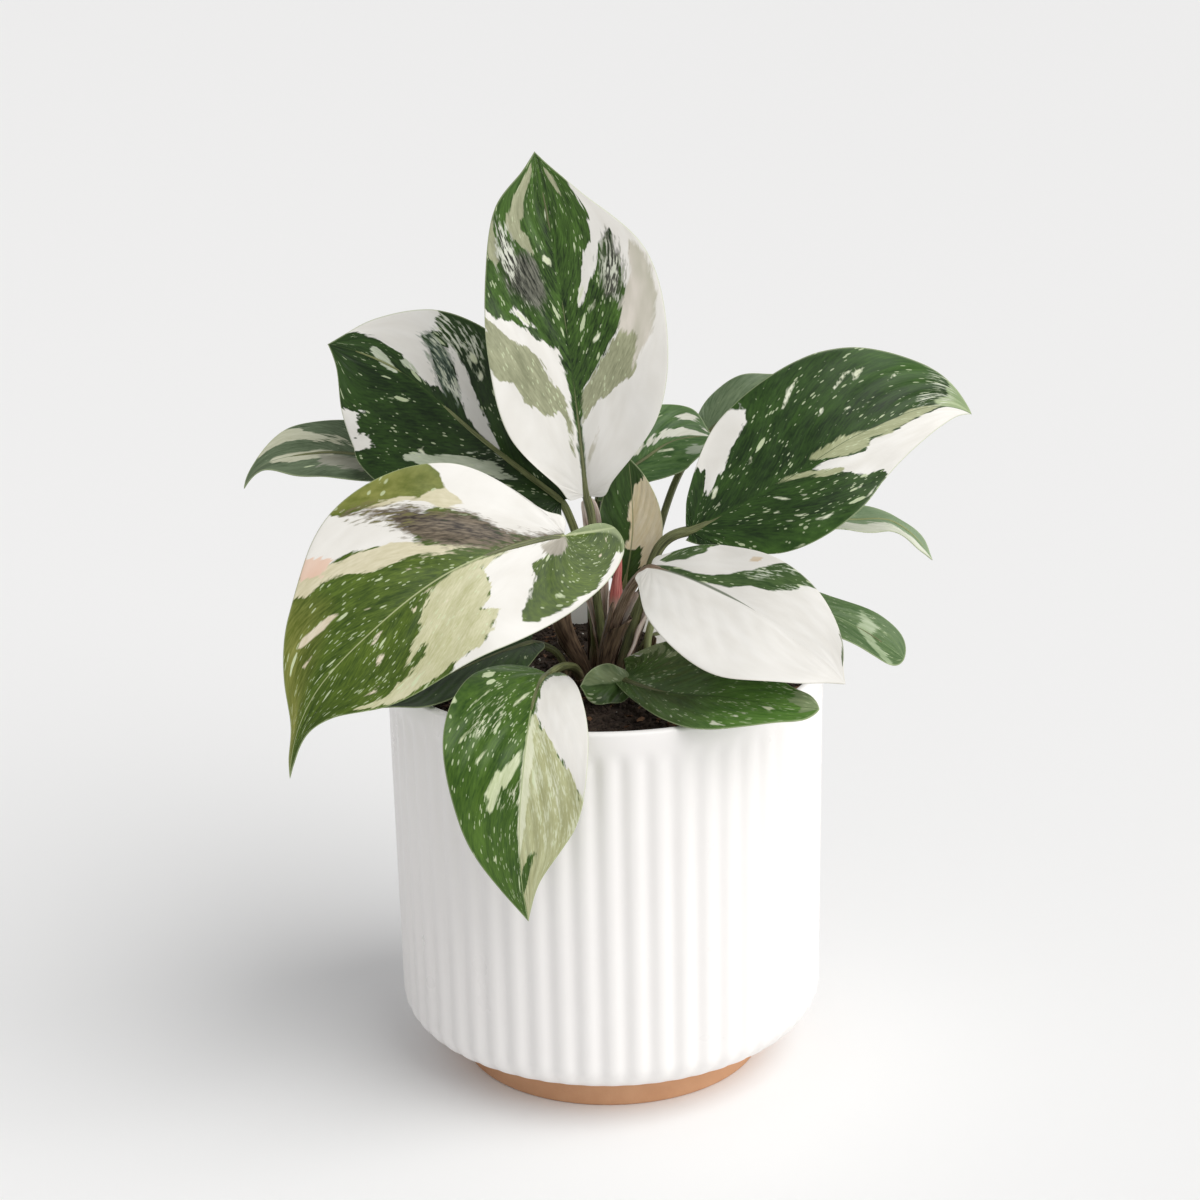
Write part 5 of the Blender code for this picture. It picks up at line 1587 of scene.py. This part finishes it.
# Far left leaf: a small leaf seen from its edge behind the front left leaf, striped green and cream along
# its length, on a long thin stalk.
far_left_leaf = {
    "midrib": [(-57, 24, 197), (-83, 30, 202), (-96, 32, 202), (-114, 31, 198), (-120, 28, 191)],
    "face": [(0, -0.8, 1), (-0.3, -0.6, 0.6)],
    "left": (7, 10, 12, 9, 2),
    "right": (7, 10, 12, 11, 3),
    "lobes": (3, 3),
    "fold": [(10, 10, 10), (10, 10, 10)],
    "root": (-10, 2),
    "sheaths": [(126, 150, 180, 110, 1.4, False)],
    "stalk": [(-11, 5, 143), (-25, 15, 175)],
    "radius": 1.4,
    "cream": [
        [(0.6, -0.12), (0.66, -0.3), (0.75, -0.42), (0.84, -0.3), (0.86, 0.0), (0.84, 0.2), (0.75, 0.12),
         (0.6, 0.06)],
        [(0.5, 0.14), (0.6, 0.3), (0.72, 0.55), (0.85, 0.92), (0.85, 1.1), (0.72, 1.1), (0.64, 0.7),
         (0.55, 0.4)],
    ],
    "mist": [[(0.4, -0.6), (0.62, -0.55), (0.66, -0.1), (0.4, -0.1)]],
}
grow(
    "far_left_leaf", "leaf_far_left", "mixed_leaf", far_left_leaf, SMALL, 8, (0.2, 0.2),
    green=("#47563D", "#6C7B60"), cream=("#AFB096", "#C8C9B3"), mist=("#80806F", "#A3A394"), rib="#7C8468",
)

# Back right leaf: a small roundish leaf behind the middle of the plant, green with a cream stripe. Its thin
# stalk stands behind the top leaf's.
back_right_leaf = {
    "midrib": [(-1, 20, 189), (13, 26, 198), (25, 31, 204), (38, 34, 204)],
    "face": [(0, -0.8, 1), (0.1, -0.8, 1)],
    "left": (8, 11, 14, 15, 11),
    "right": (5, 7, 12, 13, 9),
    "lobes": (2, 2),
    "fold": [(10, 10, 10), (10, 10, 10)],
    "root": (-4, 15),
    "stalk": [(-4, 18, 160)],
    "radius": 1.4,
    "cream": [
        [(0.5, -0.25), (0.6, -0.3), (0.75, -0.38), (0.97, -0.36), (0.97, -0.1), (0.8, -0.1), (0.72, -0.2),
         (0.6, -0.22)],
        [(0.74, -0.68), (0.8, -0.8), (0.95, -0.85), (0.95, -0.7), (0.8, -0.62)],
    ],
    "mist": [[(0.74, 0.7), (0.8, 0.4), (0.86, 0.45), (0.88, 0.8), (0.8, 0.95)]],
    "chip": [
        [(0.63, 0.04), (0.66, 0.06), (0.72, 0.26), (0.7, 0.3)],
        [(0.62, 0.3), (0.65, 0.36), (0.64, 0.42)],
    ],
}
grow(
    "back_right_leaf", "leaf_back_right", "mixed_leaf", back_right_leaf, SMALL, 9, (0.4, 0.6),
    green=("#36552A", "#5C7A45"), cream=("#CFCFBE", "#E2E1D6"), mist=("#7E8D74", "#A4AC9A"), rib="#6B8158",
)

# Back upper right leaf: a small plain dark leaf behind the right leaf. Its long thin stalk leans back and to
# the right, and carries no sheath.
back_upper_right_leaf = {
    "midrib": [(35, 42, 202), (49, 46, 212), (65, 49, 218), (77, 50, 220)],
    "face": [(-0.3, -0.8, 0.8), (0, -0.8, 0.8)],
    "left": (6, 10, 10, 6, 3),
    "right": (8, 12, 14, 12, 7),
    "lobes": (3, 3),
    "fold": [(10, 10, 10), (10, 10, 10)],
    "root": (9, 9),
    "stalk": [(15, 20, 160), (26, 36, 190)],
    "radius": 1.4,
}
grow(
    "back_upper_right_leaf", "leaf_back_upper_right", "green_leaf", back_upper_right_leaf, SMALL, 10,
    (0.2, 0.2),
    green=("#55694C", "#778868"), rib="#74846A",
)

# Centre leaf: a small young leaf in the middle of the plant, upright and still narrow, green on the left
# and cream on the right. A fresh pale sheath stands open round its stalk, just under the blade.
centre_leaf = {
    "midrib": [(7, 11, 160), (10, 12, 177), (10, 13, 190), (9, 14, 203)],
    "face": [(0, -1, 0.2), (0, -1, 0.1)],
    "left": (5, 10, 12, 10, 6),
    "right": (5, 9, 10, 8, 4),
    "lobes": (0, 0),
    "fold": [(10, 10, 10), (10, 10, 10)],
    "root": (3, 11),
    "sheaths": [(126, 150, 180, 110, 1.5, False), (130, 158.5, 180, 120, 4.2, True)],
    "stalk": [(4, 11, 146)],
    "radius": 1.4,
    "rib_sink": 0.6,
    "cream": [
        [(0.42, -0.15), (0.6, -0.05), (0.6, -0.2), (0.72, -0.08), (0.82, 0.2), (0.82, 1.1), (0.25, 1.1),
         (0.28, 0.4), (0.42, 0.4)],
    ],
}
grow(
    "centre_leaf", "leaf_centre", "mixed_leaf", centre_leaf, SMALL, 11, (0.3, 0.3),
    green=("#22370F", "#3D5A22"), cream=("#DCCBA2", "#ECE0C6"), rib="#7D8258",
)

# Far right leaf: a narrow cream leaf that curls at the right and shows its pale underside. Its thin stalk
# leans back to the right.
far_right_leaf = {
    "midrib": [(63, 28, 179), (84, 32, 175), (99, 32, 174), (112, 28, 161)],
    "face": [(0, -0.3, 1), (0.3, -0.5, 1)],
    "left": (5, 7, 6, 3, 2),
    "right": (6, 9, 9, 7, 4),
    "lobes": (3, 3),
    "fold": [(10, 10, 10), (10, 10, 10)],
    "root": (14, -3),
    "sheaths": [(126, 146, 180, 110, 1.4, False)],
    "stalk": [(15, -1, 148), (24, 6, 163), (42, 20, 175)],
    "radius": 1.3,
    "cream": [[(-0.1, 0.2), (0.5, 0.3), (0.8, 0.35), (1.1, 0.4), (1.1, 1.2), (-0.1, 1.2)]],
}
grow(
    "far_right_leaf", "leaf_far_right", "cream_leaf", far_right_leaf, SMALL, 12, (0.2, 0.2),
    green=("#6F8763", "#8DA07E"), cream=("#C9CDB8", "#DDDED0"), rib="#8B9C78", stalk=("#7F8B56", "#A3A87A"),
)

# Low far right leaf: a long leaf behind the white one, white near its seat and green where its tip hangs
# past the rim. Its stalk is short.
low_far_right_leaf = {
    "midrib": [(16, 5, 144), (39, 20, 144), (66, 32, 144), (86, 36, 136), (104, 36, 123)],
    "face": [(0.1, -0.5, 1), (0.4, -0.5, 1)],
    "left": (8, 11, 10, 9, 10),
    "right": (8, 12, 12, 12, 12),
    "lobes": (3, 3),
    "fold": [(10, 10, 10), (10, 10, 10)],
    "root": (11, 3),
    "sheaths": [(126, 136, 180, 110, 1.0, False)],
    "stalk": [(12, 4, 139)],
    "radius": 1.4,
    "tip": (0.965, 0.72),
    "white": [[(-0.1, -1.2), (0.4, -1.2), (0.45, 0.0), (0.4, 1.2), (-0.1, 1.2)]],
    "mist": [[(0.8, -0.7), (0.84, -0.3), (0.85, 0.5), (0.88, 1.1), (0.92, 1.1), (0.9, 0.3), (0.88, -0.5)]],
}
grow(
    "low_far_right_leaf", "leaf_low_far_right", "green_leaf", low_far_right_leaf, SMALL, 13, (0.5, 0.7),
    green=("#3F5D2F", "#687F51"), mist=("#8DA178", "#AAB798"), rib="#93A67C",
)

# Low left leaf: a dark green leaf that lies over the soil under the front left leaf. Its short stalk leans
# to the left out of the soil.
low_left_leaf = {
    "midrib": [(-24, -8, 147), (-40, -20, 145), (-56, -33, 142), (-71, -46, 139)],
    "face": [(0.1, -0.35, 1), (-0.1, -0.35, 1)],
    "left": (8, 14, 15, 13, 11),
    "right": (8, 17, 17, 15, 8),
    "lobes": (3, 3),
    "fold": [(10, 10, 10), (10, 10, 10)],
    "root": (-13, -4),
    "sheaths": [(126, 136, 180, 120, 1.6, False)],
    "stalk": [(-15, -5, 141)],
    "radius": 1.4,
}
grow(
    "low_left_leaf", "leaf_low_left", "green_leaf", low_left_leaf, SMALL, 14, (0.35, 0.3),
    green=("#26391B", "#3F5A28")
)

# New shoot: a leaf still rolled into a spindle, brown at its foot, pale above it and pink-red towards its
# tip. It pushes up between the stalks and stands in the soil.

# Places along its middle line with the radius there.
SHOOT = [
    (4, 5, 112, 2.2),
    (4, 5, 132, 2.5),
    (4, 5, 148, 2.8),
    (4, 5, 158, 2.4),
    (5, 5, 166, 1.6),
    (6, 5, 173, 0.5),
]
ROLL_STEP = 0.22
ROLL_TURNS = 1.3
SHOOT_GIRTH = 2.4
SHOOT_STREAK = (0.5, 8)
UNEVEN_HEIGHT = 9
SHOOT_FOOT = "#4A3527"
# From its brown foot up, a tone takes over between two heights: pale first, then pink-red.
SHOOT_TONES = [(129, 138, "#B99A88", "#E3CFC3"), (159, 163, "#A83C40", "#DB8F86")]
shoot_points = np.array(SHOOT, float)
line, _ = smooth_line(shoot_points[:, :3])
rows, sides = 90, 36
share = np.linspace(0, 1, rows)
line = sample(line, share)
reached = np.concatenate([[0], np.cumsum(np.linalg.norm(np.diff(shoot_points[:, :3], axis=0), axis=1))])
radii = np.interp(share, reached / reached[-1], shoot_points[:, 3])
turn = np.linspace(0, 2 * math.pi, sides, endpoint=False)
seam = (turn[None] + 2 * math.pi * ROLL_TURNS * share[:, None]) % (2 * math.pi) / (2 * math.pi)
rolled = radii[:, None] * (1 - ROLL_STEP * (1 - seam))
skin = np.stack([rolled * np.cos(turn), rolled * np.sin(turn), 0 * rolled], -1) + line[:, None]
skin = np.concatenate([skin[:1] * 0 + line[0], skin, skin[-1:] * 0 + line[-1]])
heights = np.repeat(np.concatenate([line[:1, 2], line[:, 2], line[-1:, 2]]), sides)
marks = {"veins": np.stack([np.tile(turn * SHOOT_GIRTH, rows + 2), heights, 0 * heights], -1)}
faces = grid_faces(rows + 2, sides, closed=True)
spindle = {"points": skin.reshape(-1, 3), "faces": faces, "marks": marks, "slot": 0}
# The skin of a rolled leaf is smooth and moist: it has a soft shine under a thin clear coat, and streaks.
pink_shoot, tree, shader = finish("rolled_pink_leaf", Roughness=0.38, IOR=1.42, Coat_Weight=0.15)
place = node(tree, "ShaderNodeAttribute", attribute_name="veins").outputs["Vector"]
fine = node(
    tree, "ShaderNodeVectorMath", {0: place}, {1: (1 / SHOOT_STREAK[0], 1 / SHOOT_STREAK[1], 1)},
    operation="MULTIPLY"
)
fine = node(tree, "ShaderNodeTexNoise", {"Vector": fine.outputs[0]}, {"Scale": 1, "Detail": 3}).outputs[0]
fade = node(tree, "ShaderNodeMapRange", {"Value": fine}, {"From Min": 0.35, "From Max": 0.65}).outputs[0]
height = node(tree, "ShaderNodeSeparateXYZ", {0: place}).outputs[1]
uneven = node(
    tree, "ShaderNodeMath", {0: fine, 1: UNEVEN_HEIGHT, 2: height}, operation="MULTIPLY_ADD"
).outputs[0]
colour = linear(SHOOT_FOOT)
for low, high, tone, paler in SHOOT_TONES:
    part = node(
        tree, "ShaderNodeMix", {0: fade, 6: linear(tone), 7: linear(paler)}, data_type="RGBA"
    ).outputs[2]
    cover = node(tree, "ShaderNodeMapRange", {"Value": uneven, "From Min": low, "From Max": high}).outputs[0]
    colour = node(tree, "ShaderNodeMix", {0: cover, 6: colour, 7: part}, data_type="RGBA").outputs[2]
tree.links.new(colour, shader.inputs["Base Color"])
shoot = grown("rolled_shoot", [spindle], [pink_shoot])
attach(shoot, "root")
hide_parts("new_shoot")
